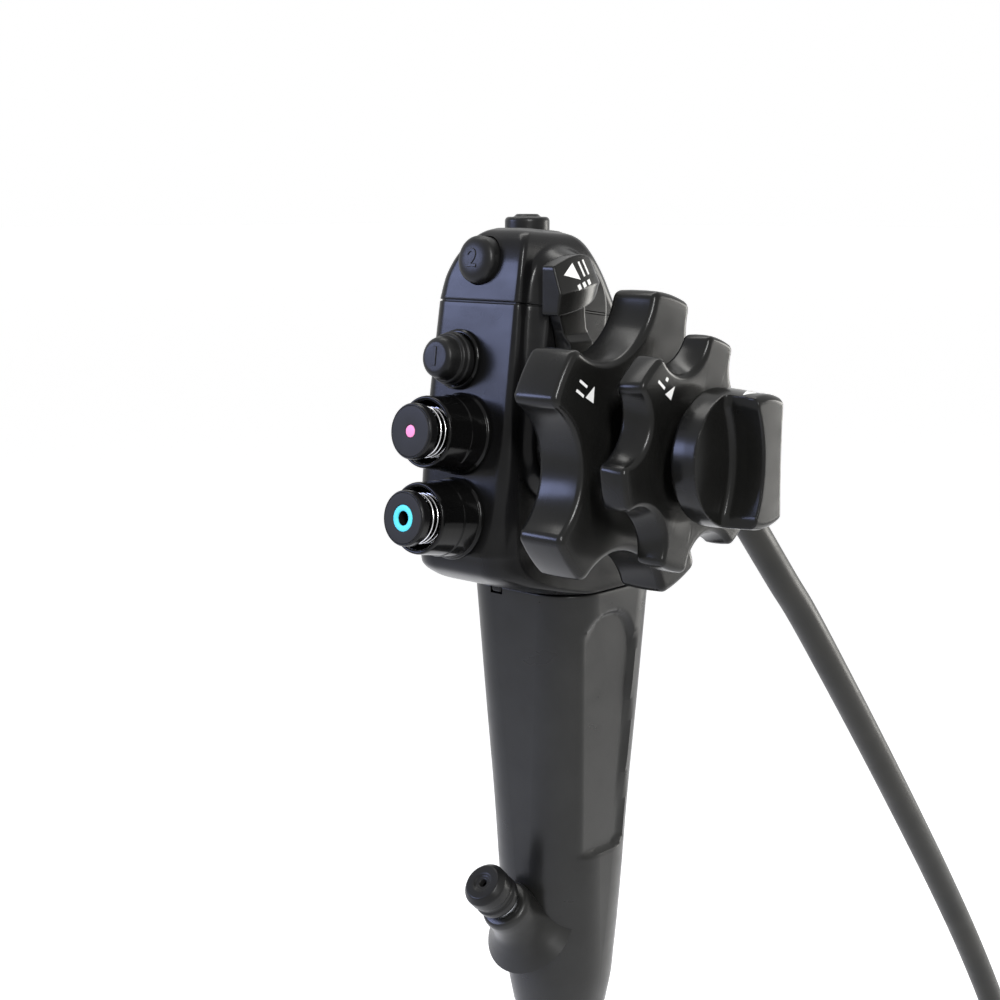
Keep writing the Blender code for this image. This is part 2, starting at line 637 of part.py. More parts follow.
def build_valve(kind, station, marks):
    """One button valve: collar, cylinder, piston, spring, cap and colour mark."""
    collar = [
        (CYLINDER_R + GAP, GAP),
        (COLLAR_FOOT_R, GAP),
        (COLLAR_FOOT_R, 1.0 * MM),
        (COLLAR_FOOT_R - 0.75 * MM, 6.0 * MM),
        (COLLAR_FOOT_R - 0.95 * MM, 6.2 * MM),
        (COLLAR_RIM_R, COLLAR_HEIGHT - 0.5 * MM),
        (COLLAR_RIM_R - 0.4 * MM, COLLAR_HEIGHT),
        (COLLAR_BORE_R + 0.2 * MM, COLLAR_HEIGHT),
        (COLLAR_BORE_R, COLLAR_HEIGHT - 0.4 * MM),
        (COLLAR_BORE_R, COLLAR_FLOOR),
        (CYLINDER_R + GAP, COLLAR_FLOOR),
    ]
    node(f"{kind}_collar", turned(collar, closed=True), gloss_black(), station)
    cylinder = [
        (CYLINDER_R, COLLAR_FLOOR - 0.2 * MM),
        (CYLINDER_R, -CYLINDER_DEPTH),
        (CYLINDER_R - 3 * MM, -CYLINDER_DEPTH),
        (CYLINDER_BORE_R - 2.1 * MM, 1.5 * MM - CYLINDER_DEPTH),
        (CYLINDER_BORE_R, 1.5 * MM - CYLINDER_DEPTH),
        (CYLINDER_BORE_R, COLLAR_FLOOR - 0.2 * MM),
    ]
    node(f"{kind}_cylinder", turned(cylinder, 14, closed=True), steel(), station)
    under_cap = CAP_TOP - CAP_THICKNESS
    bottom = 2.5 * MM + VALVE_TRAVEL - CYLINDER_DEPTH
    piston = [
        (PISTON_HEAD_R, bottom),
        (PISTON_HEAD_R, bottom + 2.5 * MM),
        (PISTON_STEM_R, bottom + 2.9 * MM),
        (PISTON_STEM_R, bottom + 5.0 * MM),
        (PISTON_HEAD_R, bottom + 5.4 * MM),
        (PISTON_HEAD_R, bottom + 7.5 * MM),
        (PISTON_STEM_R, bottom + 7.9 * MM),
        (PISTON_STEM_R, under_cap - GAP),
    ]
    node(f"{kind}_piston", turned(piston, 12), steel(), station)
    build_cap(kind, station, marks, under_cap)
    build_spring(kind, station, under_cap)


def build_cap(kind, station, marks, under_cap):
    """The finger cap, with a seat for its colour mark."""
    seat_r = (RING_R if marks == "ring" else DOT_R) + GAP
    seat = CAP_TOP - MARK_THICKNESS
    cap = [
        (CAP_R - 0.3 * MM, under_cap),
        (CAP_R, under_cap + 0.4 * MM),
        (CAP_R, CAP_TOP - 0.9 * MM),
        (CAP_R - 0.3 * MM, CAP_TOP - 0.3 * MM),
        (CAP_R - 0.9 * MM, CAP_TOP),
        (seat_r, CAP_TOP),
        (seat_r, seat - GAP),
    ]
    if marks == "ring":
        cap.append((RING_HOLE_R, seat - GAP))
        cap.append((RING_HOLE_R, under_cap))
        node(f"{kind}_cap", turned(cap, closed=True), black_plastic(), station)
        blue = material("mark_blue", (0.16, 0.78, 0.9), 0.35)
        node(f"{kind}_colour_ring", plain_ring(RING_HOLE_R, RING_R, seat, CAP_TOP), blue, station)
    else:
        node(f"{kind}_cap", turned(cap), black_plastic(), station)
        mark = [(DOT_R, seat), (DOT_R, CAP_TOP - 0.1 * MM), (DOT_R - 0.1 * MM, CAP_TOP)]
        pink = material("mark_pink", (0.95, 0.35, 0.58), 0.35)
        node(f"{kind}_colour_dot", turned(mark, 16), pink, station)


def build_spring(kind, station, under_cap):
    """A coil between the collar's floor and the cap."""
    low = COLLAR_FLOOR + SPRING_WIRE_R + GAP
    high = under_cap - SPRING_WIRE_R - GAP
    steps = 9
    total = int(SPRING_TURNS * steps)
    up = Vector((0.0, 0.0, 1.0))
    rows = []
    for i in range(total + 1):
        angle = 2 * math.pi * i / steps
        out = Vector((math.cos(angle), math.sin(angle), 0.0))
        centre = out * SPRING_R + up * (low + (high - low) * i / total)
        rows.append([centre + SPRING_WIRE_R * side for side in (out, up, -out, -up)])
    node(f"{kind}_spring", loft(rows), steel(), station)


def build_switches(face):
    """The three remote switches: moving buttons, a ring, and the switch bodies behind."""
    one = frame("switch_1_axis", (SWITCH_1_ALONG, SWITCH_1_Y, 0.0), parent=face)
    two = frame("switch_2_axis", (SWITCH_2_ALONG, SWITCH_2_Y, 0.0), parent=face)
    top = frame("switch_3_axis", (SWITCH_3_X, 0.0, SWITCH_3_TOP_Z))
    build_bellows(one)
    behind = SWITCH_INSIDE - SWITCH_TRAVEL - GAP
    side = GAP - CHASSIS_Y[0] - SWITCH_1_Y
    body = box(-4 * MM, 4 * MM, side, 4 * MM, behind - SWITCH_BODY_DEPTH, behind)
    node("switch_1_body", body, gloss_black(), one)
    node("switch_2_button", turned(dome(SWITCH_2_R, SWITCH_2_HEIGHT, SWITCH_INSIDE)), soft_rubber(), two)
    body = box(-4.5 * MM, 3 * MM, -4 * MM, 4 * MM, behind - 3 * MM, behind)
    node("switch_2_body", body, gloss_black(), two)
    cap = [
        (SWITCH_3_R, -SWITCH_3_LENGTH),
        (SWITCH_3_R, -1.3 * MM),
        (SWITCH_3_R - 0.5 * MM, -0.75 * MM),
        (SWITCH_3_R - 1.6 * MM, -0.45 * MM),
        (2.6 * MM, -0.3 * MM),
        (2.4 * MM, 0.0),
    ]
    node("switch_3_button", turned(cap), soft_rubber(), top)
    low = SWITCH_3_BODY_Z - SWITCH_3_TOP_Z
    body = box(-4 * MM, 4 * MM, -4 * MM, 4 * MM, low, low + SWITCH_3_BODY)
    node("switch_3_body", body, gloss_black(), top)


def build_bellows(axis):
    """Remote switch 1: a ring on the face and the rubber bellows that moves in it."""
    inner, outer, top = SWITCH_1_STEM_R + 0.5 * MM, SWITCH_1_RING_R, 1.3 * MM
    ring = [(inner, GAP), (outer, GAP), (outer, 0.9 * MM), (outer - 0.4 * MM, top), (inner, top)]
    node("switch_1_ring", turned(ring, closed=True), gloss_black(), axis)
    foot = top + SWITCH_TRAVEL + GAP
    bellows = [
        (SWITCH_1_STEM_R, SWITCH_INSIDE),
        (SWITCH_1_STEM_R, foot - 0.3 * MM),
        (SWITCH_1_R, foot),
        (SWITCH_1_R + 0.1 * MM, foot + 0.8 * MM),
        (SWITCH_1_R - 0.3 * MM, foot + 1.1 * MM),
        (SWITCH_1_R - 0.3 * MM, foot + 1.5 * MM),
        (SWITCH_1_R - 0.75 * MM, foot + 1.8 * MM),
        (SWITCH_1_R - 1.3 * MM, SWITCH_1_HEIGHT - 0.7 * MM),
        (SWITCH_1_R - 1.75 * MM, SWITCH_1_HEIGHT - 0.1 * MM),
        (SWITCH_1_R - 2.35 * MM, SWITCH_1_HEIGHT),
    ]
    node("switch_1_button", turned(bellows), soft_rubber(), axis)


def dome(radius, height, low):
    """A button's section with a rounded top."""
    profile = [(radius, low), (radius, 0.35 * height)]
    for degrees in (25, 45, 62, 76):
        angle = math.radians(degrees)
        profile.append((radius * math.cos(angle) ** 0.7, height * (0.35 + 0.65 * math.sin(angle))))
    return profile


def build_knob_stack(knobs):
    """Post, neck, shafts with drums, lock lever, brake discs and the nut."""
    post = [(POST_R, CHASSIS_Y[0]), (POST_R, POST_END - 0.4 * MM), (POST_R - 0.4 * MM, POST_END)]
    node("knob_post", turned(post), steel(), knobs)
    neck_end = UD_WHEEL_Y[0] - UD_HUB_BACK - GAP
    neck = plain_ring(UD_SHAFT_R + GAP, NECK_R, BODY_HALF - WALL, neck_end)
    node("knob_neck", neck, steel(), knobs)
    lever_low = BOSS_TOP + 0.4 * MM
    build_lever(knobs, lever_low)
    keeper = lever_low + LEVER_THICKNESS + GAP
    disc = keeper + RETAINER_THICKNESS
    node("lever_retaining_ring", plain_ring(NECK_R + GAP, RETAINER_R, keeper, disc), steel(), knobs)
    brake = plain_ring(NECK_R + GAP, UD_BRAKE_R, disc + GAP, neck_end)
    node("up_down_brake_disc", brake, friction_plastic(), knobs)
    build_shaft("up_down", UD_DRUM_Y, UD_SHAFT_R, LR_SHAFT_R + GAP, UD_WHEEL_Y[1] + GAP, knobs)
    build_shaft("left_right", LR_DRUM_Y, LR_SHAFT_R, POST_R + GAP, LR_WHEEL_Y[1], knobs)
    brake = plain_ring(POST_R + GAP, LR_BRAKE_R, LR_WHEEL_Y[1] + 2 * GAP, KNOB_DISC_Y[0] - GAP)
    node("left_right_brake_disc", brake, friction_plastic(), knobs)
    low = KNOB_DISC_Y[0] + GAP
    nut_bore = (POST_R + GAP) / math.cos(math.pi / 6)
    node("post_nut", plain_ring(nut_bore, NUT_R, low, low + NUT_THICKNESS, 6), steel(), knobs)


def build_shaft(kind, drum, outer, bore, end, knobs):
    """A hollow shaft with its wire drum at the inner end."""
    low, high = drum
    profile = [
        (bore, low),
        (DRUM_FLANGE_R, low),
        (DRUM_FLANGE_R, low + DRUM_FLANGE),
        (DRUM_GROOVE_R, low + DRUM_FLANGE),
        (DRUM_GROOVE_R, high - DRUM_FLANGE),
        (DRUM_FLANGE_R, high - DRUM_FLANGE),
        (DRUM_FLANGE_R, high),
        (outer, high),
        (outer, end),
        (bore, end),
    ]
    node(f"{kind}_shaft", turned(profile, 14, closed=True), brass(), knobs)


def lever_outline():
    """Ring and arm of the lock lever, in the knob frame's XY."""
    arc = arc_points((0.0, 0.0), LEVER_RING_R, math.radians(118), math.radians(304), 14)
    arm = [(2.7, 22.0), (1.2, 31.0), (3.0, 38.0), (-7.0, 38.0), (-7.8, 30.0), (-4.4, 22.0)]
    return arc + [(x * MM, y * MM) for x, y in arm]


LEVER_TAB = [
    (-9.6, 28.2), (1.0, 29.6), (4.6, 31.6), (6.6, 36.5),
    (5.4, 40.0), (2.6, 41.2), (-8.0, 40.4), (-9.6, 38.8),
]
LEVER_TAB_FACE = [
    (-5.2, 32.4), (3.0, 34.6), (4.4, 35.4), (6.0, 37.0),
    (5.0, 39.6), (2.6, 40.7), (-8.2, 39.6), (-8.4, 36.4),
]


def build_lever(knobs, low):
    """The up/down lock lever, with a thicker tab for the finger."""
    arm = prism(lever_outline(), low, low + LEVER_THICKNESS)
    lever = node("up_down_lock_lever", arm, gloss_black(), knobs)
    rows = []
    for outline, out in ((LEVER_TAB, -0.1), (LEVER_TAB, 2.2), (LEVER_TAB_FACE, 3.7)):
        rows.append([(x * MM, y * MM, low + out * MM) for x, y in outline])
    combine(lever, node("add_tab", loft(rows), gloss_black(), knobs), "UNION")
    drill(lever, "cut_lever", NECK_R + GAP, low - 2 * MM, low + 6 * MM, knobs)


def lobed_outline(lobes, first, tip_half, tip, valley, arc_steps):
    """A finger wheel's outline: lobes with rounded corners between round scallops."""
    half = math.pi / lobes - tip_half
    centre = (tip**2 - valley**2) / (2 * (tip * math.cos(half) - valley))
    scallop = centre - valley
    sweep = math.atan2(tip * math.sin(half), centre - tip * math.cos(half))
    points = []
    for lobe in range(lobes):
        middle = first + lobe * 2 * math.pi / lobes
        for share, drop in ((-0.92, 0.035), (-0.5, 0.004), (0.5, 0.004), (0.92, 0.035)):
            angle, radius = middle + share * tip_half, tip * (1 - drop)
            points.append((radius * math.cos(angle), radius * math.sin(angle)))
        facing = middle + math.pi / lobes
        for i in range(1, arc_steps):
            angle = sweep * (-1 + 2 * i / arc_steps)
            out, side = centre - scallop * math.cos(angle), scallop * math.sin(angle)
            points.append(
                (
                    out * math.cos(facing) - side * math.sin(facing),
                    out * math.sin(facing) + side * math.cos(facing),
                )
            )
    return points


def inset_outline(points, distance):
    """A closed outline moved inward along its corners' bisectors."""
    moved = []
    for before, here, after in zip(points[-1:] + points[:-1], points, points[1:] + points[:1]):
        inward = []
        for (x0, y0), (x1, y1) in ((before, here), (here, after)):
            inward.append(Vector((y0 - y1, x1 - x0)).normalized())
        bisector = (inward[0] + inward[1]).normalized()
        reach = distance / max(0.6, bisector.dot(inward[0]))
        moved.append((here[0] + bisector.x * reach, here[1] + bisector.y * reach))
    return moved


def finger_wheel(name, outline, span, bore, hub_back, hub_r, edge, knobs):
    """A moulded wheel with rounded lobes, a dished face and a hub."""
    low, high = span
    angles = [math.atan2(y, x) for x, y in outline]

    def round_row(radius, z):
        return [(radius * math.cos(a), radius * math.sin(a), z) for a in angles]

    def edge_row(inset, z):
        return [(x, y, z) for x, y in inset_outline(outline, inset)]

    inner = [Vector((x, y)) for x, y in inset_outline(outline, 1.4 * edge)]
    dish_r = hub_r + 1 * MM
    dish = [(*(0.5 * point + 0.5 * dish_r * point.normalized()), high - 0.7 * MM) for point in inner]
    rows = [
        round_row(bore, hub_back),
        round_row(hub_r, hub_back),
        round_row(hub_r, low + 0.4 * MM),
        edge_row(edge, low),
        edge_row(0.3 * edge, low + 0.3 * edge),
        edge_row(0.0, low + edge),
        edge_row(0.0, high - edge),
        edge_row(0.3 * edge, high - 0.3 * edge),
        edge_row(edge, high),
        dish,
        round_row(hub_r - 1.2 * MM, high - 0.9 * MM),
        round_row(bore, high),
    ]
    node(name, loft(rows, closed=True), black_plastic(), knobs)


def build_wheels(knobs):
    """The two angulation wheels."""
    outline = lobed_outline(UD_LOBES, UD_LOBE_ANGLE, UD_TIP_HALF, UD_WHEEL_R, UD_VALLEY_R, 6)
    back = UD_WHEEL_Y[0] - UD_HUB_BACK
    bore = UD_SHAFT_R + GAP
    finger_wheel("up_down_wheel", outline, UD_WHEEL_Y, bore, back, UD_HUB_R, UD_WHEEL_EDGE, knobs)
    outline = lobed_outline(LR_LOBES, LR_LOBE_ANGLE, LR_TIP_HALF, LR_WHEEL_R, LR_VALLEY_R, 4)
    back = UD_WHEEL_Y[1] + WHEEL_CLEARANCE
    bore = LR_SHAFT_R + GAP
    finger_wheel("left_right_wheel", outline, LR_WHEEL_Y, bore, back, LR_HUB_R, LR_WHEEL_EDGE, knobs)


def fin_outline(shrink):
    """The brake knob's finger fin: rounded ends and a narrow waist."""
    half, end, waist = FIN_HALF - shrink, FIN_END_HALF - shrink, FIN_WAIST_HALF - shrink
    straight = half - end
    shares = (-1, -0.6, -0.2, 0.2, 0.6, 1)
    right = [(waist + (end - waist) * share**2, straight * share) for share in shares]
    top = arc_points((0.0, straight), end, math.pi / 6, 2 * math.pi / 3, 4)
    half_turn = right + top
    return half_turn + [(-x, -y) for x, y in half_turn]


def build_brake_knob(knobs):
    """The left/right brake knob: a tapered disc with a finger fin across it."""
    low, high = KNOB_DISC_Y
    wide, narrow = KNOB_DISC_R
    bore, roof = POST_R + GAP, KNOB_DISC_Y[0] + KNOB_CAVITY_DEPTH
    disc = [
        (KNOB_CAVITY_R, low),
        (wide - 0.7 * MM, low),
        (wide, low + 0.7 * MM),
        (narrow + 0.4 * MM, high - 1.0 * MM),
        (narrow - 0.8 * MM, high),
        (bore, high),
        (bore, roof),
        (KNOB_CAVITY_R, roof),
    ]
    knob = node("left_right_brake_knob", turned(disc, 24, closed=True), black_plastic(), knobs)
    rows = []
    top = FIN_TOP_Y
    for shrink, out in ((0.0, high - 2 * MM), (0.0, top - 2.6 * MM), (0.5, top - 1.0 * MM), (1.6, top)):
        rows.append([(x, y, out) for x, y in fin_outline(shrink * MM)])
    combine(knob, node("add_fin", loft(rows), black_plastic(), knobs), "UNION")
    drill(knob, "cut_post_hole", bore, low + 1 * MM, POST_END + 2 * GAP, knobs, sides=16)


def wire_frame(name, side, tilt, depth):
    """An axis along a pull wire, its origin where the wire leaves the drum; side is -1 in front."""
    x = KNOB_X + side * WIRE_PITCH_R * math.cos(tilt)
    z = KNOB_Z + side * WIRE_PITCH_R * math.sin(tilt)
    return frame(name, (x, -depth, z), (0.0, -tilt, 0.0))


def wire_runs():
    """Each wire: name, side, tilt, depth in the body, and how far it is drawn up."""
    ud_depth, lr_depth = sum(UD_DRUM_Y) / 2, sum(LR_DRUM_Y) / 2
    return (
        ("up", 1, BACK_WIRE_TILT, ud_depth, UD_RANGE[1] * WIRE_PITCH_R),
        ("down", -1, FRONT_WIRE_TILT, ud_depth, -UD_RANGE[0] * WIRE_PITCH_R),
        ("right", 1, BACK_WIRE_TILT, lr_depth, LR_RANGE[1] * WIRE_PITCH_R),
        ("left", -1, FRONT_WIRE_TILT, lr_depth, -LR_RANGE[0] * WIRE_PITCH_R),
    )


def build_wires():
    """Four pull wires with couplers, the block that guides them, and their coil pipes."""
    x0, x1 = BLOCK_X
    side0, side1 = -BLOCK_SIDE, -CHASSIS_Y[1] - GAP
    outline = [(x0, side0), (x1, side0), (x1, side1), (x0, side1)]
    block = node("wire_guide_block", prism(outline, *BLOCK_Z), brass())
    bore = WIRE_R + GAP
    for name, side, tilt, depth, drawn in wire_runs():
        axis = wire_frame(f"{name}_wire_axis", side, tilt, depth)
        coupler = -(COUPLER_CLEAR + drawn)
        low = (BLOCK_Z[0] - axis.location.z) / math.cos(tilt)
        profile = [
            (WIRE_R, low - WIRE_TAIL),
            (WIRE_R, coupler - COUPLER_LENGTH),
            (COUPLER_R, coupler - COUPLER_LENGTH),
            (COUPLER_R, coupler),
            (WIRE_R, coupler),
            (WIRE_R, -GAP),
        ]
        node(f"{name}_wire", turned(profile, 6), steel(), axis)
        drill(block, f"cut_{name}_wire", bore, low - 2 * MM, low + 12 * MM, axis, sides=6)
        top = low - PIPE_GAP
        node(f"{name}_coil_pipe", plain_ring(bore, PIPE_R, top - PIPE_LENGTH, top, 6), steel(), axis)


def smooth_points(route, spacing):
    """A Catmull-Rom curve through the route, read at even steps."""
    points = [Vector(p) * MM for p in route]
    ends = [2 * points[0] - points[1]] + points + [2 * points[-1] - points[-2]]
    fine = []
    for a, b, c, d in zip(ends, ends[1:], ends[2:], ends[3:]):
        for i in range(24):
            t = i / 24
            bend = (2 * a - 5 * b + 4 * c - d) * t**2 + (3 * b - a - 3 * c + d) * t**3
            fine.append(b + 0.5 * ((c - a) * t + bend))
    fine.append(points[-1])
    lengths = [0.0]
    for p, q in zip(fine, fine[1:]):
        lengths.append(lengths[-1] + (q - p).length)
    count = max(2, round(lengths[-1] / spacing))
    picked, at = [], 0
    for i in range(count + 1):
        target = lengths[-1] * i / count
        while at < len(fine) - 2 and lengths[at + 1] < target:
            at += 1
        step = lengths[at + 1] - lengths[at]
        picked.append(fine[at].lerp(fine[at + 1], (target - lengths[at]) / step))
    return picked


def tube(name, route, radius, look, spacing, resolution=2):
    """A round cord or hose along a route in millimetres; its first stretch is straight."""
    data = bpy.data.curves.new(name, "CURVE")
    data.dimensions = "3D"
    data.bevel_depth = radius
    data.bevel_resolution = resolution
    data.use_fill_caps = True
    points = [Vector(route[0]) * MM] + smooth_points(route[1:], spacing)
    line = data.splines.new("POLY")
    line.points.add(len(points) - 1)
    for spot, point in zip(line.points, points):
        spot.co = (*point, 1.0)
    data.materials.append(look)
    made = bpy.data.objects.new(name, data)
    bpy.context.collection.objects.link(made)
    return made


SUCTION_ROUTE = [
    (-18.1, 0, 39.3), (-14, 0.2, 38), (-8, 1.5, 31), (-5, 2.5, 20),
    (-4, 3, 5), (-4.5, 3, -30), (-5, 2.5, -62), (-5.5, 1.5, -77),
]
SUPPLY_ROUTE = [
    (-20.6, 0, 20.2), (-16, 1, 18.6), (-11.5, 4.5, 12), (-8.5, 7.5, 3),
    (-7, 8.2, -15), (-6, 7.4, -60), (-4, 4.5, -107),
]
LIGHT_ROUTE = [
    (16.0, 2.1, 46.1), (11.8, 2.5, 47.0), (8.8, 3.9, 42), (8.2, 5.2, 31),
    (7, 5.2, 15), (6, 4.5, -5), (5.5, 3.5, -50), (3.5, 0, -107),
]


def build_inner_tubes():
    """Hoses and bundles between the valves, the cord and the grip's end."""
    clear = material("clear_hose", (0.75, 0.76, 0.74), 0.3)
    dark = material("dark_sheath", (0.05, 0.05, 0.06), 0.5)
    tube("suction_hose", SUCTION_ROUTE, 2.0 * MM, clear, 8 * MM, 1)
    tube("air_water_hose", SUPPLY_ROUTE, 1.5 * MM, clear, 8 * MM, 1)
    tube("light_guide_bundle", LIGHT_ROUTE, 2.2 * MM, dark, 8 * MM, 1)


def build_gland(cord_frame):
    """The ring and boot that hold the cord in the snout."""
    sleeve = [
        (CORD_R + 0.2 * MM, -5 * MM),
        (SNOUT_BORE_R - GAP, -5 * MM),
        (SNOUT_BORE_R - GAP, SNOUT_END + GAP),
        (SNOUT_R - 0.6 * MM, SNOUT_END + GAP),
        (SNOUT_R, SNOUT_END + 0.9 * MM),
        (SNOUT_R, SNOUT_END + GLAND_LENGTH - 0.6 * MM),
        (SNOUT_R - 0.6 * MM, SNOUT_END + GLAND_LENGTH),
        (CORD_R + 0.2 * MM, SNOUT_END + GLAND_LENGTH),
    ]
    node("cord_gland", turned(sleeve, 18, closed=True), steel(), cord_frame)
    low = SNOUT_END + GLAND_LENGTH + GAP
    boot = boot_profile(low, BOOT_LENGTH, BOOT_R, BOOT_END_R, 5)
    node("cord_boot", turned(boot, 14), soft_rubber(), cord_frame)


def boot_profile(low, length, wide, narrow, ribs):
    """A tapered strain relief with shallow ribs."""
    profile = [(wide - 0.5 * MM, low), (wide, low + 0.6 * MM), (wide, low + 0.12 * length)]
    for i in range(ribs):
        share = 0.18 + 0.76 * i / ribs
        radius = wide + (narrow - wide) * share
        profile.append((radius - 0.6 * MM, low + (share + 0.03) * length))
        profile.append((radius, low + (share + 0.08) * length))
    profile.append((narrow, low + 0.97 * length))
    profile.append((narrow - 0.5 * MM, low + length))
    return profile


CORD_ROUTE = [
    (63.9, 0.0, 20.66),
    (69.2, 0.0, 17.85),
    (76.6, 0.0, 10.0),
    (84.4, 0.0, 1.5),
    (99.6, 0.0, -14.8),
    (111.0, 0.0, -26.7),
    (132.2, 0.0, -51.1),
    (154.4, 0.0, -77.2),
    (177.8, 0.0, -105.3),
    (202.0, 0.0, -135.0),
    (227.0, -0.5, -168.0),
    (249.0, -1.5, -201.0),
    (267.0, -2.8, -233.0),
    (279.5, -4.0, -262.0),
    (284.8, -4.4, -277.0),
    (286.3, -4.5, -285.7),
]


def build_cord():
    """The universal cord's hanging stretch, its coil with both ends, and the tie round it."""
    tube("universal_cord", CORD_ROUTE, CORD_R, soft_rubber(), 18 * MM)
    outer, inner, half = COIL_R + 2 * CORD_R, COIL_R - 2 * CORD_R, 2 * CORD_R
    soft = 3 * MM
    ring = [
        (inner, -half + soft),
        (inner + soft, -half),
        (outer - soft, -half),
        (outer, -half + soft),
        (outer, half - soft),
        (outer - soft, half),
        (inner + soft, half),
        (inner, half - soft),
    ]
    upright = (math.pi / 2, 0.0, 0.0)
    turns = turned(ring, 28, closed=True)
    coil = node("universal_cord_coil", turns, soft_rubber(), None, COIL_CENTRE, upright)
    ends = (("add_entry", -1, 0.0, COIL_ENTRY_RISE), ("add_exit", 1, GAP - CONNECTOR_DROP, 0.0))
    for name, side, low, high in ends:
        spot = COIL_CENTRE + Vector((-COIL_R - CORD_R, side * CORD_R, 0.0))
        stretch = turned([(CORD_R - 0.1 * MM, low), (CORD_R - 0.1 * MM, high)], 12)
        combine(coil, node(name, stretch, soft_rubber(), None, spot), "UNION")
    build_tie(outer, inner, half)


def build_tie(outer, inner, half):
    """A strap round the coil's section, at the top of the coil."""
    middle = COIL_CENTRE.z + (outer + inner) / 2
    width, thick = TIE_HALF_WIDTH, TIE_THICKNESS
    rows = []
    for x, grow in ((-width, thick), (-width, 0.0), (width, 0.0), (width, thick)):
        y, z = half + GAP + grow, (outer - inner) / 2 + 0.5 * MM + grow
        section = rounded(-z, z, -y, y, 2 * MM, 2 * MM, lambda _: 0.0, 2)
        rows.append([(COIL_CENTRE.x + x, b, middle + a) for a, b, _ in section])
    node("cord_tie", loft(rows, closed=True), soft_rubber())


def build_connector():
    """The light guide connector that hangs from the coil's last turn."""
    spot = COIL_CENTRE + Vector((-COIL_R - CORD_R, CORD_R, -CONNECTOR_DROP))
    hang = frame("connector_axis", spot, (math.pi, 0.0, 0.0))
    length = CONNECTOR_BOOT_LENGTH
    boot = boot_profile(0.0, length, 8.0 * MM, 5.6 * MM, 3)
    flipped = [(radius, length - z) for radius, z in boot[::-1]]
    node("connector_boot", turned(flipped, 14), soft_rubber(), hang)
    low = length + GAP
    high = low + CONNECTOR_LENGTH
    body = [
        (9 * MM, low),
        (10.5 * MM, low + 1 * MM),
        (12.5 * MM, low + 8 * MM),
        (CONNECTOR_R, low + 14 * MM),
        (CONNECTOR_R, high - 6 * MM),
        (CONNECTOR_R - 1.5 * MM, high - 2 * MM),
        (CONNECTOR_R - 4 * MM, high),
    ]
    housing = node("connector_body", turned(body, 18), black_plastic(), hang)
    build_socket(housing, hang, low + 32 * MM)
    air = [(1.6 * MM, high - 5 * MM), (1.6 * MM, high + 9 * MM), (1.1 * MM, high + 10 * MM)]
    pipe = node("add_air_pipe", turned(air, 10), steel(), hang, (0.0, 10.5 * MM, 0.0))
    combine(housing, pipe, "UNION")
    base = high + GAP
    end = base + PRONG_LENGTH
    prong = [
        (8 * MM, base),
        (8 * MM, base + 2.5 * MM),
        (PRONG_R, base + 3 * MM),
        (PRONG_R, end - 4 * MM),
        (PRONG_R - 1 * MM, end - 3 * MM),
        (PRONG_R - 1 * MM, end),
    ]
    node("light_guide_prong", turned(prong, 14), steel(), hang)


def build_socket(housing, hang, along):
    """The electrical socket in the connector's side, with its contact cup."""
    outward = frame("socket_axis", (0.0, 0.0, along), (0.0, -math.pi / 2, 0.0), hang)
    floor = CONNECTOR_R - SOCKET_DEPTH
    drill(housing, "cut_socket", SOCKET_R, floor, CONNECTOR_R + 8 * MM, outward, sides=16)
    wall, rim = SOCKET_R - 0.6 * MM, CONNECTOR_R + 1 * MM
    low, seat = floor + GAP, floor + 1.5 * MM
    cup = [(wall, low), (wall, rim), (wall - 1.2 * MM, rim), (wall - 1.2 * MM, seat)]
    pin = [(1.5 * MM, seat), (1.5 * MM, seat + 3 * MM)]
    node("connector_contacts", turned(cup + pin, 14), steel(), outward)


def main():
    """Builds every piece in one shared frame."""
    remove_all()
    upright = -(math.pi / 2 - LEAN)
    face = frame("valve_face_axis", (FACE_X, 0.0, FACE_Z), (0.0, upright, 0.0))
    lower = frame("air_water_axis", (-VALVE_SPACING, 0.0, 0.0), parent=face)
    knobs = frame("knob_axis", (KNOB_X, 0.0, KNOB_Z), (math.pi / 2, 0.0, 0.0))
    dip = math.pi / 2 + CORD_DIP
    cord_frame = frame("cord_axis", (CORD_X, 0.0, CORD_Z), (0.0, dip, 0.0))
    port = frame("port_axis", (PORT_X, 0.0, PORT_Z), (0.0, -PORT_TILT, 0.0))
    build_housing(face, knobs, cord_frame)
    build_hood(face)
    build_grip(port)
    build_port(port)
    build_grip_end()
    build_chassis(knobs)
    build_valve("suction", face, "dot")
    build_valve("air_water", lower, "ring")
    build_switches(face)
    build_knob_stack(knobs)
    build_wheels(knobs)
    build_brake_knob(knobs)
    build_wires()
    build_inner_tubes()
    build_gland(cord_frame)
    build_cord()
    build_connector()


main()
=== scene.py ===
"""Looks of a flexible endoscope's control section, with its cord and connector.

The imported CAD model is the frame. Each class here makes the detailed pieces of one
sub-assembly in the same place, and dresses the CAD nodes that stay as they are.
Lengths in the classes are millimetres; meshes and Blender calls are in metres.
"""

import logging
import math
from abc import ABC, abstractmethod
from dataclasses import dataclass
from enum import Enum
from typing import Sequence

import bmesh
import bpy
import numpy as np
from mathutils import Euler, Matrix, Vector
from mathutils.bvhtree import BVHTree


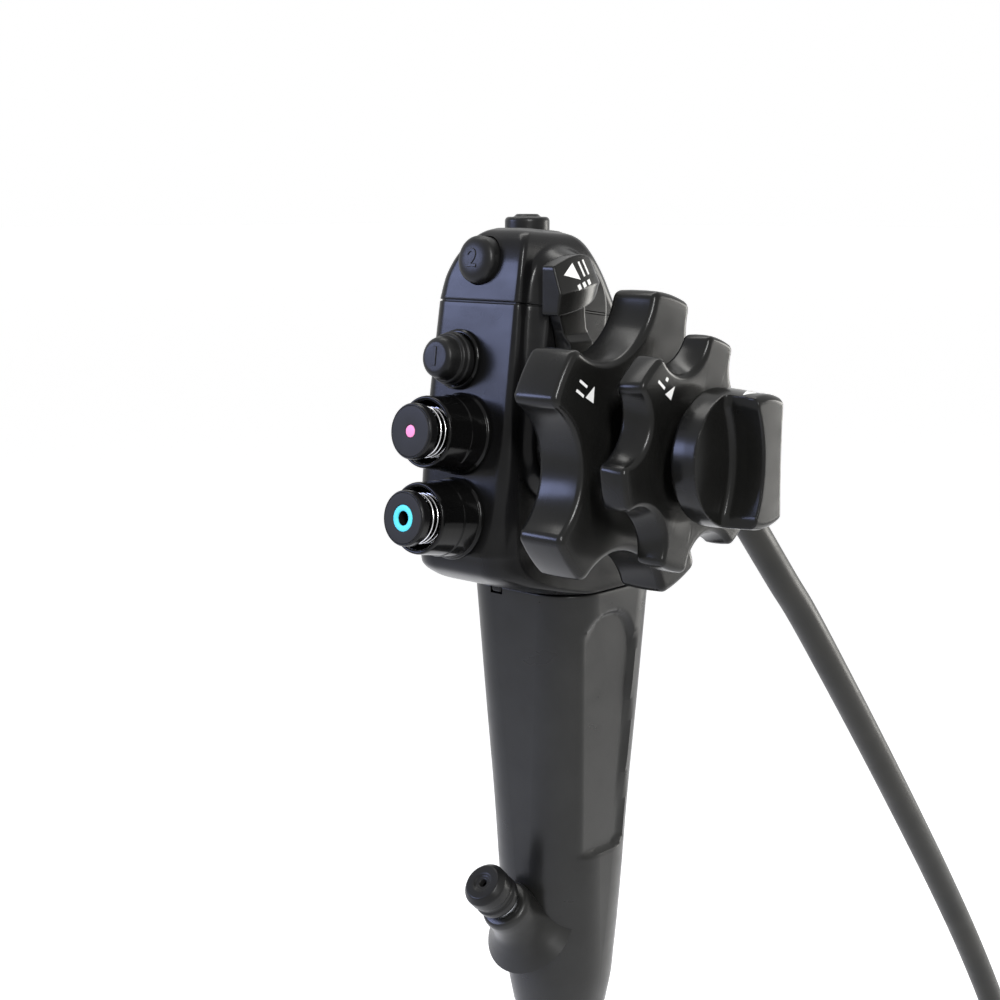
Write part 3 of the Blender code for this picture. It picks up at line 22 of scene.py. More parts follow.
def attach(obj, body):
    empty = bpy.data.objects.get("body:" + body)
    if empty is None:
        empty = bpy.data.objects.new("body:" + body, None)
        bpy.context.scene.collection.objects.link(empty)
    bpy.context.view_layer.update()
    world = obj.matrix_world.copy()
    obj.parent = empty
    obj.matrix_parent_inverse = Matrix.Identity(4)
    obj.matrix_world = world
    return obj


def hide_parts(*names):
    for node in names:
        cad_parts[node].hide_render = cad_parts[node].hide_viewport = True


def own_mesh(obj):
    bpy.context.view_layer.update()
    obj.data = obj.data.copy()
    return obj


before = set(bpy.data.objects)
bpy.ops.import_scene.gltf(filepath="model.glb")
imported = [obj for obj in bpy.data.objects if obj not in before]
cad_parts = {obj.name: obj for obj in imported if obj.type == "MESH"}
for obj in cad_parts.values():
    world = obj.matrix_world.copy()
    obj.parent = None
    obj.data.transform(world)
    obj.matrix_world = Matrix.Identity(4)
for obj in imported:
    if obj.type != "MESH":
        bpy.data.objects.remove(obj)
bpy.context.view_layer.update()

MM = 0.001
SHARP = math.radians(38)
MOULD_SHARP = math.radians(60)
WHEEL_SHARP = math.radians(50)
WELD = 1e-6
log = logging.getLogger("endoscope")

Pair = tuple[float, float]
Colour = tuple[float, float, float]
Spot = tuple[float, float, float]
Counts = tuple[int, int, int, int, int]
Piece = bpy.types.Object
Socket = bpy.types.NodeSocket


class Body(str, Enum):
    """The bodies of the frame that pieces ride on."""

    CONTROL = "control_section"
    SUCTION = "suction_button"
    AIR_WATER = "air_water_button"
    SWITCH_1 = "remote_switch_1"
    SWITCH_2 = "remote_switch_2"
    SWITCH_3 = "remote_switch_3"
    UP_DOWN = "up_down_knob"
    LEFT_RIGHT = "left_right_knob"
    UP_DOWN_LOCK = "up_down_lock"
    LEFT_RIGHT_LOCK = "left_right_lock"


class Slot(str, Enum):
    """The record's material slots."""

    BLACK = "black_plastic"
    GRIP = "grip_plastic"
    GLOSS = "gloss_black"
    RUBBER = "soft_rubber"
    STEEL = "steel"
    BLUE = "mark_blue"
    PINK = "mark_pink"


# ---------------------------------------------------------------- finishes


def tone(red: int, green: int, blue: int) -> Colour:
    """A linear colour from 0 to 255 sRGB values."""
    shares = (value / 255 for value in (red, green, blue))
    return tuple(s / 12.92 if s <= 0.04045 else ((s + 0.055) / 1.055) ** 2.4 for s in shares)


class Graph:
    """A node tree in the making."""

    def __init__(self, tree: bpy.types.NodeTree) -> None:
        """Keeps the tree that nodes are added to."""
        self.tree = tree

    def add(
        self,
        kind: str,
        links: dict | None = None,
        values: dict | None = None,
        out: int = 0,
        **settings: str,
    ) -> Socket | None:
        """Adds a node.

        Args:
            kind: the node's type.
            links: input names or numbers to the sockets that feed them.
            values: input names or numbers to constants.
            out: which output to return.
            **settings: the node's own settings.

        Returns:
            The node's output, if it has one.
        """
        made = self.tree.nodes.new(kind)
        for label, value in settings.items():
            setattr(made, label, value)
        for label, value in (values or {}).items():
            made.inputs[label].default_value = value
        for label, socket in (links or {}).items():
            self.tree.links.new(socket, made.inputs[label])
        return made.outputs[out] if made.outputs else None

    def sum(self, operation: str, *terms: Socket | float) -> Socket:
        """A Math node on two sockets or numbers."""
        links = {i: term for i, term in enumerate(terms) if isinstance(term, Socket)}
        values = {i: term for i, term in enumerate(terms) if i not in links}
        return self.add("ShaderNodeMath", links, values, operation=operation)


class Board(Graph):
    """A material's node tree in the making."""

    def __init__(self, name: str) -> None:
        """Starts a material that holds one Principled shader.

        Args:
            name: the material's name.
        """
        self.material = bpy.data.materials.new(name)
        self.material.use_nodes = True
        super().__init__(self.material.node_tree)
        self.shader = self.tree.nodes["Principled BSDF"]
        self.place = self.tree.nodes.new("ShaderNodeTexCoord").outputs["Object"]

    def set(self, **values: float | Colour) -> None:
        """Sets constants on the shader's own sockets; underscores stand for spaces."""
        for label, value in values.items():
            socket = self.shader.inputs[label.replace("_", " ")]
            socket.default_value = (*value, 1.0) if isinstance(value, tuple) else value

    def noise(self, size: float, detail: float = 2.0, stretch: Spot = (1, 1, 1)) -> Socket:
        """Noise on Object coordinates.

        Args:
            size: the pattern's size in millimetres.
            detail: the number of finer layers.
            stretch: how much finer it is along each axis.

        Returns:
            The noise's value socket.
        """
        turn = self.add("ShaderNodeMapping", {"Vector": self.place}, {"Scale": stretch})
        look = {"Scale": 1 / (size * MM), "Detail": detail}
        return self.add("ShaderNodeTexNoise", {"Vector": turn}, look)

    def spread(self, value: Socket, low: float = 0.0, high: float = 1.0) -> Socket:
        """Maps the middle of a noise value's range to low..high and returns the socket."""
        limits = {"From Min": 0.3, "From Max": 0.7, "To Min": low, "To Max": high}
        return self.add("ShaderNodeMapRange", {"Value": value}, limits)

    def feed(self, label: str, socket: Socket) -> None:
        """Drives one of the shader's own sockets."""
        self.tree.links.new(socket, self.shader.inputs[label])

    def blend(self, factor: Socket, first: Colour, second: Colour) -> None:
        """Paints the shader with two tones, mixed by a factor socket."""
        tones = {6: (*first, 1.0), 7: (*second, 1.0)}
        mixed = self.add("ShaderNodeMix", {0: factor}, tones, 2, data_type="RGBA")
        self.feed("Base Color", mixed)

    def rough(self, value: Socket) -> None:
        """Drives the shader's roughness."""
        self.feed("Roughness", value)

    def bump(self, height: Socket, depth: float, below: Socket | None = None) -> Socket:
        """Raises the surface by a height socket.

        Args:
            height: the socket that gives the height.
            depth: the height's size in millimetres.
            below: the normal of a bump under this one.

        Returns:
            The new normal's socket, linked to the shader too.
        """
        links = {"Height": height} if below is None else {"Height": height, "Normal": below}
        normal = self.add("ShaderNodeBump", links, {"Strength": 1.0, "Distance": depth * MM})
        self.feed("Normal", normal)
        return normal


@dataclass(frozen=True)
class Finish(ABC):
    """What a surface is made of; one material holds it, whatever wears it."""

    name: str

    def material(self) -> bpy.types.Material:
        """The finish as a material, made once."""
        found = bpy.data.materials.get(self.name)
        if found:
            return found
        board = Board(self.name)
        self.paint(board)
        return board.material

    @abstractmethod
    def paint(self, board: Board) -> None:
        """Lays the finish on an empty board."""


@dataclass(frozen=True)
class Moulding(Finish):
    """Moulded plastic or rubber: two close tones, a fine grain, and faint handling marks."""

    dark: Colour
    light: Colour
    roughness: float
    specular: float = 0.25
    grain: float = 0.22
    grain_depth: float = 0.004
    smear: float = 0.05

    def paint(self, board: Board) -> None:
        """Tones, roughness and a two-layer grain."""
        board.set(Roughness=self.roughness, Specular_IOR_Level=self.specular)
        board.blend(board.spread(board.noise(9.0, 3.0)), self.dark, self.light)
        smears = board.noise(14.0, 4.0, (1.0, 1.0, 2.2))
        low, high = self.roughness - self.smear, self.roughness + self.smear
        board.rough(board.spread(smears, low, high))
        broad = board.bump(board.noise(3.2), 0.006)
        board.bump(board.noise(self.grain), self.grain_depth, broad)


@dataclass(frozen=True)
class Turned(Finish):
    """Metal with faint wear and fine tool marks."""

    colour: Colour
    worn: Colour
    roughness: float = 0.24

    def paint(self, board: Board) -> None:
        """Bare metal whose marks show in its tone, gloss and relief."""
        board.set(Metallic=1.0)
        board.blend(board.spread(board.noise(5.0, 3.0)), self.colour, self.worn)
        marks = board.noise(1.6, 3.0)
        board.rough(board.spread(marks, self.roughness - 0.06, self.roughness + 0.08))
        board.bump(marks, 0.0015)


@dataclass(frozen=True)
class ClearHose(Finish):
    """Clear soft hose, a little milky."""

    name: str = "clear_hose_wall"

    def paint(self, board: Board) -> None:
        """A pale wall that light passes through."""
        board.set(IOR=1.42, Transmission_Weight=0.75)
        board.blend(board.spread(board.noise(6.0)), tone(226, 228, 222), tone(205, 208, 200))
        board.rough(board.spread(board.noise(4.0), 0.16, 0.3))
        board.bump(board.noise(1.2), 0.01)


@dataclass(frozen=True)
class Sheath(Finish):
    """The cord's smooth polymer sheath."""

    name: str = "cord_sheath"

    def paint(self, board: Board) -> None:
        """A satin surface with a soft ripple under a fine grain."""
        board.set(Specular_IOR_Level=0.16)
        board.blend(board.spread(board.noise(22.0, 3.0)), tone(33, 33, 31), tone(40, 39, 36))
        board.rough(board.spread(board.noise(9.0, 3.0), 0.34, 0.46))
        board.bump(board.noise(0.35), 0.005, board.bump(board.noise(6.0), 0.02))


@dataclass(frozen=True)
class Webbing(Finish):
    """The tie's woven band."""

    name: str = "tie_webbing"

    def paint(self, board: Board) -> None:
        """Two crossed waves, for warp and weft."""
        board.set(Specular_IOR_Level=0.15, Sheen_Weight=0.25, Sheen_Roughness=0.4)
        place, threads = {"Vector": board.place}, {"Scale": 420.0, "Distortion": 0.6}
        warp, weft = (
            board.add("ShaderNodeTexWave", place, threads, 1, bands_direction=way) for way in "XZ"
        )
        weave = board.sum("MULTIPLY", warp, weft)
        board.blend(weave, tone(24, 24, 25), tone(46, 46, 48))
        board.rough(board.spread(board.noise(2.0), 0.6, 0.8))
        board.bump(weave, 0.12)


@dataclass(frozen=True)
class Laminate(Finish):
    """A circuit board's green mask over copper tracks."""

    name: str = "board_laminate"

    def paint(self, board: Board) -> None:
        """A brick pattern, as tracks under the mask."""
        pattern = {"Scale": 260.0, "Mortar Size": 0.035}
        tracks = board.add("ShaderNodeTexBrick", {"Vector": board.place}, pattern, 1)
        board.blend(tracks, tone(16, 92, 52), tone(34, 128, 72))
        board.rough(board.spread(board.noise(3.0), 0.3, 0.42))
        board.bump(tracks, 0.02)


HOUSING_BLACK = Moulding("housing_black", tone(15, 15, 16), tone(20, 20, 20), 0.24, 0.15)
KNOB_BLACK = Moulding("knob_black", tone(18, 18, 17), tone(23, 23, 22), 0.23, 0.17, smear=0.03)
GRIP_BLACK = Moulding("grip_black", tone(26, 26, 25), tone(32, 32, 31), 0.32, 0.26, grain=0.3)
GLOSS_BLACK = Moulding(
    "collar_gloss", tone(9, 9, 9), tone(12, 12, 12), 0.14, 0.14,
    grain=1.2, grain_depth=0.0003, smear=0.02,
)
CAP_BLACK = Moulding("cap_black", tone(45, 45, 45), tone(49, 49, 49), 0.4, 0.06)
RUBBER_BLACK = Moulding(
    "rubber_black", tone(21, 21, 21), tone(27, 27, 27), 0.34, 0.16, grain_depth=0.005
)
# The friction lining's own tone, darkened as painted shade so that the left/right disc reads as the
# shade between its wheel and the brake knob.
FRICTION_PAINTED_SHADE = Moulding("friction_lining_painted_shade", tone(50, 47, 42), tone(40, 38, 34), 0.6, 0.2)
PINK_MARK = Moulding("pink_mark", tone(250, 150, 194), tone(244, 138, 184), 0.4, 0.3, smear=0.03)
BLUE_MARK = Moulding("blue_mark", tone(98, 226, 242), tone(84, 214, 232), 0.4, 0.3, smear=0.03)
WHITE_PRINT = Moulding(
    "white_print", tone(238, 238, 236), tone(226, 226, 224), 0.5, 0.3, smear=0.04
)
STEEL = Turned("stainless_steel", tone(158, 160, 163), tone(140, 142, 146))
SPRING_STEEL = Turned("spring_steel", tone(214, 214, 214), tone(192, 192, 194), 0.2)
BRASS = Turned("bare_brass", tone(206, 176, 112), tone(180, 148, 86), 0.28)
DARK_SHEATH = Moulding("bundle_sheath", tone(44, 44, 48), tone(56, 56, 60), 0.5, 0.3, grain=0.6)


# ---------------------------------------------------------------- meshes


class Axis:
    """A place and direction on the object that round pieces are made about."""

    def __init__(self, matrix: Matrix) -> None:
        """Keeps the axis as a matrix in metres."""
        self.matrix = matrix

    @classmethod
    def at(
        cls, spot: Sequence[float], turn: Sequence[float] = (0, 0, 0), on: "Axis | None" = None
    ) -> "Axis":
        """An axis at a spot in millimetres, turned, on another axis or the object."""
        own = Matrix.LocRotScale(Vector(spot) * MM, Euler(turn), None)
        return cls(on.matrix @ own if on else own)

    def place(self, points: np.ndarray) -> np.ndarray:
        """Local millimetres to the object's metres."""
        whole = np.array(self.matrix)
        return np.asarray(points, float) * MM @ whole[:3, :3].T + whole[:3, 3]

    def way(self, direction: Sequence[float]) -> Vector:
        """A local direction, seen from the object."""
        return (self.matrix.to_3x3() @ Vector(direction)).normalized()


LEAN = math.radians(7.67)
SLOPE = math.tan(LEAN)
FACE_X, FACE_Z = -35.55, 41.83
KNOBS_X, KNOBS_Z = -19.1, 40.5
OBJECT = Axis.at((0, 0, 0))
FACE = Axis.at((FACE_X, 0, FACE_Z), (0, -(math.pi / 2 - LEAN), 0))
LOWER_VALVE = Axis.at((-19.34, 0, 0), on=FACE)
SWITCH_1 = Axis.at((16.8, 3.0, 0), on=FACE)
SWITCH_2 = Axis.at((39.5, -0.75, 0), on=FACE)
SWITCH_3_X = -13.4
KNOBS = Axis.at((KNOBS_X, 0, KNOBS_Z), (math.pi / 2, 0, 0))
CORD_EXIT = Axis.at((20, 0, 44), (0, math.pi / 2 + math.radians(28), 0))
PORT = Axis.at((-13, 0, -84), (0, -math.pi / 4, 0))
PLUG = Axis.at((286.5, 4.5, -352), (math.pi, 0, 0))
SOCKET = Axis.at((0, 0, 62.3), (0, -math.pi / 2, 0), on=PLUG)


def linked(name: str, data: bpy.types.ID) -> Piece:
    """A new object in the scene that holds the data."""
    made = bpy.data.objects.new(name, data)
    bpy.context.collection.objects.link(made)
    return made


def released(name: str, builder: bmesh.types.BMesh) -> Piece:
    """A new object with what a builder holds; the builder is freed."""
    mesh = bpy.data.meshes.new(name)
    builder.to_mesh(mesh)
    builder.free()
    return linked(name, mesh)


def smoothed(piece: Piece, angle: float = SHARP) -> Piece:
    """Shades a piece smooth up to an angle."""
    piece.data.shade_smooth()
    piece.data.set_sharp_from_angle(angle=angle)
    return piece


def shaded(piece: Piece, angle: float = SHARP) -> Piece:
    """Merges doubles, points faces out and shades smooth up to an angle."""
    builder = bmesh.new()
    builder.from_mesh(piece.data)
    bmesh.ops.remove_doubles(builder, verts=builder.verts, dist=WELD)
    bmesh.ops.dissolve_degenerate(builder, edges=builder.edges, dist=WELD / 10)
    bmesh.ops.recalc_face_normals(builder, faces=builder.faces)
    builder.to_mesh(piece.data)
    builder.free()
    return smoothed(piece, angle)


def solid(
    name: str, points: np.ndarray, faces: Sequence[Sequence[int]], axis: Axis
) -> Piece:
    """An object from local points and faces, with its place in its mesh."""
    mesh = bpy.data.meshes.new(name)
    mesh.from_pydata(axis.place(points).tolist(), [], faces)
    return linked(name, mesh)


def raised(flat: np.ndarray, height: float) -> np.ndarray:
    """A flat outline's points at a height."""
    return np.column_stack((flat, np.full(len(flat), height)))


def rounding(edge: float, turns: Sequence[float] = (0.35, 0.7, 1.1, 1.57)) -> list[Pair]:
    """How far a rounded edge is from its corner both ways, at each turn along it."""
    return [(edge * (1 - math.sin(a)), edge * (1 - math.cos(a))) for a in turns]


def strips(count: int, levels: int, ring: bool, closed: bool = True) -> list[list[int]]:
    """Four-sided faces between rows of points.

    Args:
        count: points in a row.
        levels: the number of rows.
        ring: whether the last row meets the first.
        closed: whether a row's last point meets its first.

    Returns:
        The faces, as point numbers.
    """
    here = np.arange(count if closed else count - 1)
    after = (here + 1) % count
    faces: list[list[int]] = []
    for level in range(levels if ring else levels - 1):
        a, b = level * count, (level + 1) % levels * count
        faces += np.stack((a + here, a + after, b + after, b + here), axis=1).tolist()
    return faces


def skin(name: str, rows: Sequence[np.ndarray], axis: Axis, ring: bool = False) -> Piece:
    """A skin through closed rows of points.

    Args:
        name: the piece's name.
        rows: closed rows with the same number of local points.
        axis: where the local points are.
        ring: whether the last row meets the first; otherwise both are capped.

    Returns:
        The finished object.
    """
    count, levels = len(rows[0]), len(rows)
    faces = strips(count, levels, ring)
    if not ring:
        last = (levels - 1) * count
        faces += [list(range(count)), list(range(last, last + count))]
    return shaded(solid(name, np.concatenate(rows), faces, axis))


def fair(profile: Sequence[Pair], radius: float, ring: bool = False) -> list[Pair]:
    """Rounds a section's corners.

    Args:
        profile: (radius, height) pairs.
        radius: how far from each corner the rounding starts, where there is room.
        ring: whether the section is closed.

    Returns:
        The rounded section.
    """
    steps = 5
    points = [Vector(p) for p in profile]
    count = len(points)
    smooth: list[Pair] = []
    for index, here in enumerate(points):
        if not ring and index in (0, count - 1):
            smooth.append(tuple(here))
            continue
        before, after = points[index - 1], points[(index + 1) % count]
        reach = min(radius, 0.48 * (before - here).length, 0.48 * (after - here).length)
        start = here + (before - here).normalized() * reach
        end = here + (after - here).normalized() * reach
        for step in range(steps + 1):
            t = step / steps
            smooth.append(tuple((1 - t) ** 2 * start + 2 * t * (1 - t) * here + t**2 * end))
    return smooth


def revolve(
    name: str, profile: Sequence[Pair], axis: Axis, ring: bool = False, sides: int = 96
) -> Piece:
    """A solid of revolution; an open section is closed at the axis.

    Args:
        name: the piece's name.
        profile: (radius, height) pairs.
        axis: what it turns about.
        ring: whether the section is closed and leaves a bore.
        sides: points round the axis.

    Returns:
        The finished object.
    """
    turn = np.arange(sides) * 2 * math.pi / sides
    circle = np.stack((np.cos(turn), np.sin(turn)), axis=1)
    rows = [raised(circle * r, z) for r, z in profile]
    if not ring:
        pinch = (0.02, 0.02, 1)
        rows = [rows[0] * pinch, *rows, rows[-1] * pinch]
    return skin(name, rows, axis, ring)


def joined(name: str, pieces: Sequence[Piece]) -> Piece:
    """One object from several, each still closed."""
    builder = bmesh.new()
    for piece in pieces:
        builder.from_mesh(piece.data)
        bpy.data.objects.remove(piece)
    return smoothed(released(name, builder))


def settled(piece: Piece) -> Piece:
    """Turns a piece's modifiers into plain mesh."""
    graph = bpy.context.evaluated_depsgraph_get()
    mesh = bpy.data.meshes.new_from_object(piece.evaluated_get(graph))
    piece.modifiers.clear()
    piece.data = mesh
    return piece


class Cut(str, Enum):
    """What a second solid does to the first."""

    AWAY = "DIFFERENCE"
    ADD = "UNION"


def shaped(piece: Piece, how: Cut, tools: Sequence[Piece]) -> Piece:
    """Cuts solids away from a piece or adds them, and removes the tools."""
    for tool in tools:
        step = piece.modifiers.new(tool.name, "BOOLEAN")
        step.operation = how.value
        step.solver = "EXACT"
        step.object = tool
    settled(piece)
    for tool in tools:
        bpy.data.objects.remove(tool)
    piece.data.materials.clear()
    return smoothed(piece)


def bore(radius: float, low: float, high: float, axis: Axis) -> Piece:
    """A round cutter along an axis."""
    return revolve("bore", [(radius, low), (radius, high)], axis, sides=72)


def moulded(piece: Piece, voxel: float, rounds: int) -> Piece:
    """Remeshes a piece finely and softens its edges, as a mould does.

    Args:
        piece: the object.
        voxel: the remesh size in millimetres.
        rounds: how many times its points are smoothed.

    Returns:
        The same object with its new mesh.
    """
    step = piece.modifiers.new("remesh", "REMESH")
    step.mode = "VOXEL"
    step.voxel_size = voxel * MM
    soft = piece.modifiers.new("soften", "SMOOTH")
    soft.factor = 0.5
    soft.iterations = rounds
    return smoothed(settled(piece), MOULD_SHARP)


def smoothstep(value: np.ndarray, low: float, high: float) -> np.ndarray:
    """0 below low, 1 above high, and a smooth rise between."""
    t = np.clip((value - low) / (high - low), 0.0, 1.0)
    return t * t * (3 - 2 * t)


def eased(stops: Sequence[float], values: Sequence[float], at: float) -> float:
    """A monotone cubic through the values given at the stops, read at one place."""
    x, y = np.asarray(stops, float), np.asarray(values, float)
    step, slope = np.diff(x), np.diff(y) / np.diff(x)
    lean = np.concatenate(([slope[0]], np.zeros(len(x) - 2), [slope[-1]]))
    same = slope[:-1] * slope[1:] > 0
    a, b = 2 * step[1:] + step[:-1], step[1:] + 2 * step[:-1]
    with np.errstate(divide="ignore", invalid="ignore"):
        mean = (a + b) / (a / slope[:-1] + b / slope[1:])
    lean[1:-1] = np.where(same, mean, 0.0)
    cell = np.clip(np.searchsorted(x, [at]) - 1, 0, len(x) - 2)
    t = (at - x[cell]) / step[cell]
    bend = step[cell] * (lean[cell] * t * (1 - t) ** 2 - lean[cell + 1] * (1 - t) * t**2)
    blend = y[cell] * (1 + 2 * t) * (1 - t) ** 2 + y[cell + 1] * t**2 * (3 - 2 * t) + bend
    return float(blend[0])


def round_rect(
    x0: float,
    x1: float,
    y0: float,
    y1: float,
    front: float,
    back: float,
    counts: Counts,
    palm_front: float | None = None,
) -> np.ndarray:
    """A rectangle with rounded corners, with even points on each side.

    Args:
        x0: front side's x.
        x1: back side's x.
        y0: knob side's y.
        y1: palm side's y.
        front: radius of the two front corners.
        back: radius of the two back corners.
        counts: points on the knob side, the back, the palm side, the front and each corner.
        palm_front: radius of the palm side's front corner, where it differs.

    Returns:
        The (x, y) points, starting at the knob side's front end.
    """
    knob, rear, palm, face, corner = counts
    other = front if palm_front is None else palm_front

    def run(a: Pair, b: Pair, count: int) -> np.ndarray:
        """Points from a up to, and without, b."""
        share = np.arange(count)[:, None] / count
        return np.array(a) * (1 - share) + np.array(b) * share

    def bend(cx: float, cy: float, radius: float, start: float) -> np.ndarray:
        """A quarter turn without its last point."""
        angle = start + np.arange(corner) / corner * math.pi / 2
        return np.stack((cx + radius * np.cos(angle), cy + radius * np.sin(angle)), axis=1)

    return np.concatenate(
        (
            run((x0 + front, y0), (x1 - back, y0), knob),
            bend(x1 - back, y0 + back, back, 1.5 * math.pi),
            run((x1, y0 + back), (x1, y1 - back), rear),
            bend(x1 - back, y1 - back, back, 0.0),
            run((x1 - back, y1), (x0 + other, y1), palm),
            bend(x0 + other, y1 - other, other, 0.5 * math.pi),
            run((x0, y1 - other), (x0, y0 + front), face),
            bend(x0 + front, y0 + front, front, math.pi),
        )
    )


def polygon_slab(
    name: str, outline: Sequence[Pair], low: float, high: float, axis: Axis
) -> Piece:
    """An outline extruded along an axis."""
    flat = np.asarray(outline, float)
    return skin(name, [raised(flat, low), raised(flat, high)], axis)


# ---------------------------------------------------------------- geometry nodes


class Recipe(Graph):
    """A Geometry Nodes tree with named inputs, run once and kept as a plain mesh."""

    def __init__(self, name: str, takes_mesh: bool = False) -> None:
        """Starts a tree.

        Args:
            name: the tree's name.
            takes_mesh: whether the tree reads the mesh that it is run on.
        """
        super().__init__(bpy.data.node_groups.new(name, "GeometryNodeTree"))
        face = self.tree.interface
        face.new_socket("Geometry", in_out="OUTPUT", socket_type="NodeSocketGeometry")
        if takes_mesh:
            face.new_socket("Geometry", in_out="INPUT", socket_type="NodeSocketGeometry")
        self.sockets: dict[str, str] = {}
        self.entry = self.tree.nodes.new("NodeGroupInput")

    def number(self, label: str, value: float, whole: bool = False) -> Socket:
        """Adds a named number and returns its socket inside the tree."""
        kind = "NodeSocketInt" if whole else "NodeSocketFloat"
        made = self.tree.interface.new_socket(label, in_out="INPUT", socket_type=kind)
        made.default_value = value
        self.sockets[label] = made.identifier
        return self.entry.outputs[label]

    def close(self, geometry: Socket, look: bpy.types.Material) -> None:
        """Ends the tree: instances made real, and the material set."""
        real = self.add("GeometryNodeRealizeInstances", {"Geometry": geometry})
        dressed = self.add("GeometryNodeSetMaterial", {"Geometry": real}, {"Material": look})
        self.add("NodeGroupOutput", {"Geometry": dressed})

    def run(self, piece: Piece, **values: float) -> Piece:
        """Runs the tree on an object and keeps the plain mesh.

        Args:
            piece: a mesh object, in metres, which becomes the result.
            **values: inputs by name; underscores stand for spaces.

        Returns:
            The same object without the modifier.
        """
        step = piece.modifiers.new(self.tree.name, "NODES")
        step.node_group = self.tree
        for label, value in values.items():
            step[self.sockets[label.replace("_", " ")]] = value
        piece.data.update_tag()
        piece.update_tag()
        bpy.context.view_layer.update()
        return settled(piece)


def blank(name: str) -> Piece:
    """An object with an empty mesh, for a tree that makes everything itself."""
    return linked(name, bpy.data.meshes.new(name))


def moved(piece: Piece, axis: Axis) -> Piece:
    """Puts a mesh made about the origin on an axis, in its points."""
    piece.data.transform(axis.matrix)
    piece.data.update()
    return piece


def round_repeat(look: bpy.types.Material, name: str) -> Recipe:
    """A tree that repeats its mesh evenly about Z and welds the copies."""
    recipe = Recipe(name, takes_mesh=True)
    count = recipe.number("Count", 6, whole=True)
    points = recipe.add("GeometryNodePoints", {"Count": count})
    index = recipe.add("GeometryNodeInputIndex")
    turn = recipe.sum("DIVIDE", recipe.sum("MULTIPLY", index, 2 * math.pi), count)
    angle = recipe.add("ShaderNodeCombineXYZ", {"Z": turn})
    lobe = recipe.entry.outputs["Geometry"]
    copies = recipe.add(
        "GeometryNodeInstanceOnPoints", {"Points": points, "Instance": lobe, "Rotation": angle}
    )
    real = recipe.add("GeometryNodeRealizeInstances", {"Geometry": copies})
    welded = recipe.add("GeometryNodeMergeByDistance", {"Geometry": real}, {"Distance": 2 * WELD})
    recipe.close(welded, look)
    return recipe


def spring_recipe(look: bpy.types.Material) -> Recipe:
    """A tree that winds a spring up Z."""
    recipe = Recipe("wind_spring")
    turns = recipe.number("Turns", 5.0)
    radius = recipe.number("Radius", 0.005)
    height = recipe.number("Height", 0.01)
    wire = recipe.number("Wire Radius", 0.0005)
    path = recipe.add(
        "GeometryNodeCurveSpiral",
        {"Rotations": turns, "Start Radius": radius, "End Radius": radius, "Height": height},
        {"Resolution": 56},
    )
    section = recipe.add("GeometryNodeCurvePrimitiveCircle", {"Radius": wire}, {"Resolution": 14})
    ends = {"Fill Caps": True}
    coil = recipe.add("GeometryNodeCurveToMesh", {"Curve": path, "Profile Curve": section}, ends)
    recipe.close(coil, look)
    return recipe


def rib_recipe(look: bpy.types.Material) -> Recipe:
    """A tree that sets rings along Z, each smaller than the last."""
    recipe = Recipe("set_ribs")
    count = recipe.number("Count", 5, whole=True)
    low = recipe.number("Low", 0.0)
    pitch = recipe.number("Pitch", 0.005)
    wide = recipe.number("Wide", 0.009)
    narrow = recipe.number("Narrow", 0.006)
    thick = recipe.number("Thickness", 0.001)
    start = recipe.add("ShaderNodeCombineXYZ", {"Z": low})
    step = recipe.add("ShaderNodeCombineXYZ", {"Z": pitch})
    line = recipe.add(
        "GeometryNodeMeshLine", {"Count": count, "Start Location": start, "Offset": step}
    )
    index = recipe.add("GeometryNodeInputIndex")
    share = recipe.sum("DIVIDE", index, recipe.sum("SUBTRACT", count, 1))
    change = recipe.sum("SUBTRACT", narrow, wide)
    size = recipe.sum("ADD", wide, recipe.sum("MULTIPLY", share, change))
    scale = recipe.sum("DIVIDE", size, wide)
    wheel = recipe.add("GeometryNodeCurvePrimitiveCircle", {"Radius": wide}, {"Resolution": 72})
    section = recipe.add("GeometryNodeCurvePrimitiveCircle", {"Radius": thick}, {"Resolution": 12})
    ring = recipe.add("GeometryNodeCurveToMesh", {"Curve": wheel, "Profile Curve": section})
    rings = recipe.add(
        "GeometryNodeInstanceOnPoints", {"Points": line, "Instance": ring, "Scale": scale}
    )
    recipe.close(rings, look)
    return recipe


# ---------------------------------------------------------------- fitting


class Fitter:
    """Dresses finished pieces, fastens them to bodies and counts them."""

    def __init__(self) -> None:
        """Starts with no pieces."""
        self.count = 0
        self.triangles = 0

    def fit(
        self,
        piece: Piece,
        finish: Finish,
        body: Body,
        replaces: Sequence[str] = (),
    ) -> Piece:
        """Gives a piece its finish, its body and the nodes that it stands for.

        Args:
            piece: the finished object.
            finish: the finish that dresses it.
            body: the body that carries it.
            replaces: CAD nodes that it stands for.

        Returns:
            The piece.
        """
        piece.data.materials.clear()
        piece.data.materials.append(finish.material())
        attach(piece, body.value)
        if replaces:
            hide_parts(*replaces)
        size = sum(len(face.vertices) - 2 for face in piece.data.polygons)
        self.count += 1
        self.triangles += size
        log.info("%s: %d triangles on %s", piece.name, size, body.value)
        return piece

    def dress(self, finish: Finish, *nodes: str) -> None:
        """Gives CAD nodes that stay a better finish."""
        for name in nodes:
            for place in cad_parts[name].material_slots:
                place.material = finish.material()
            log.info("%s keeps its CAD shape", name)


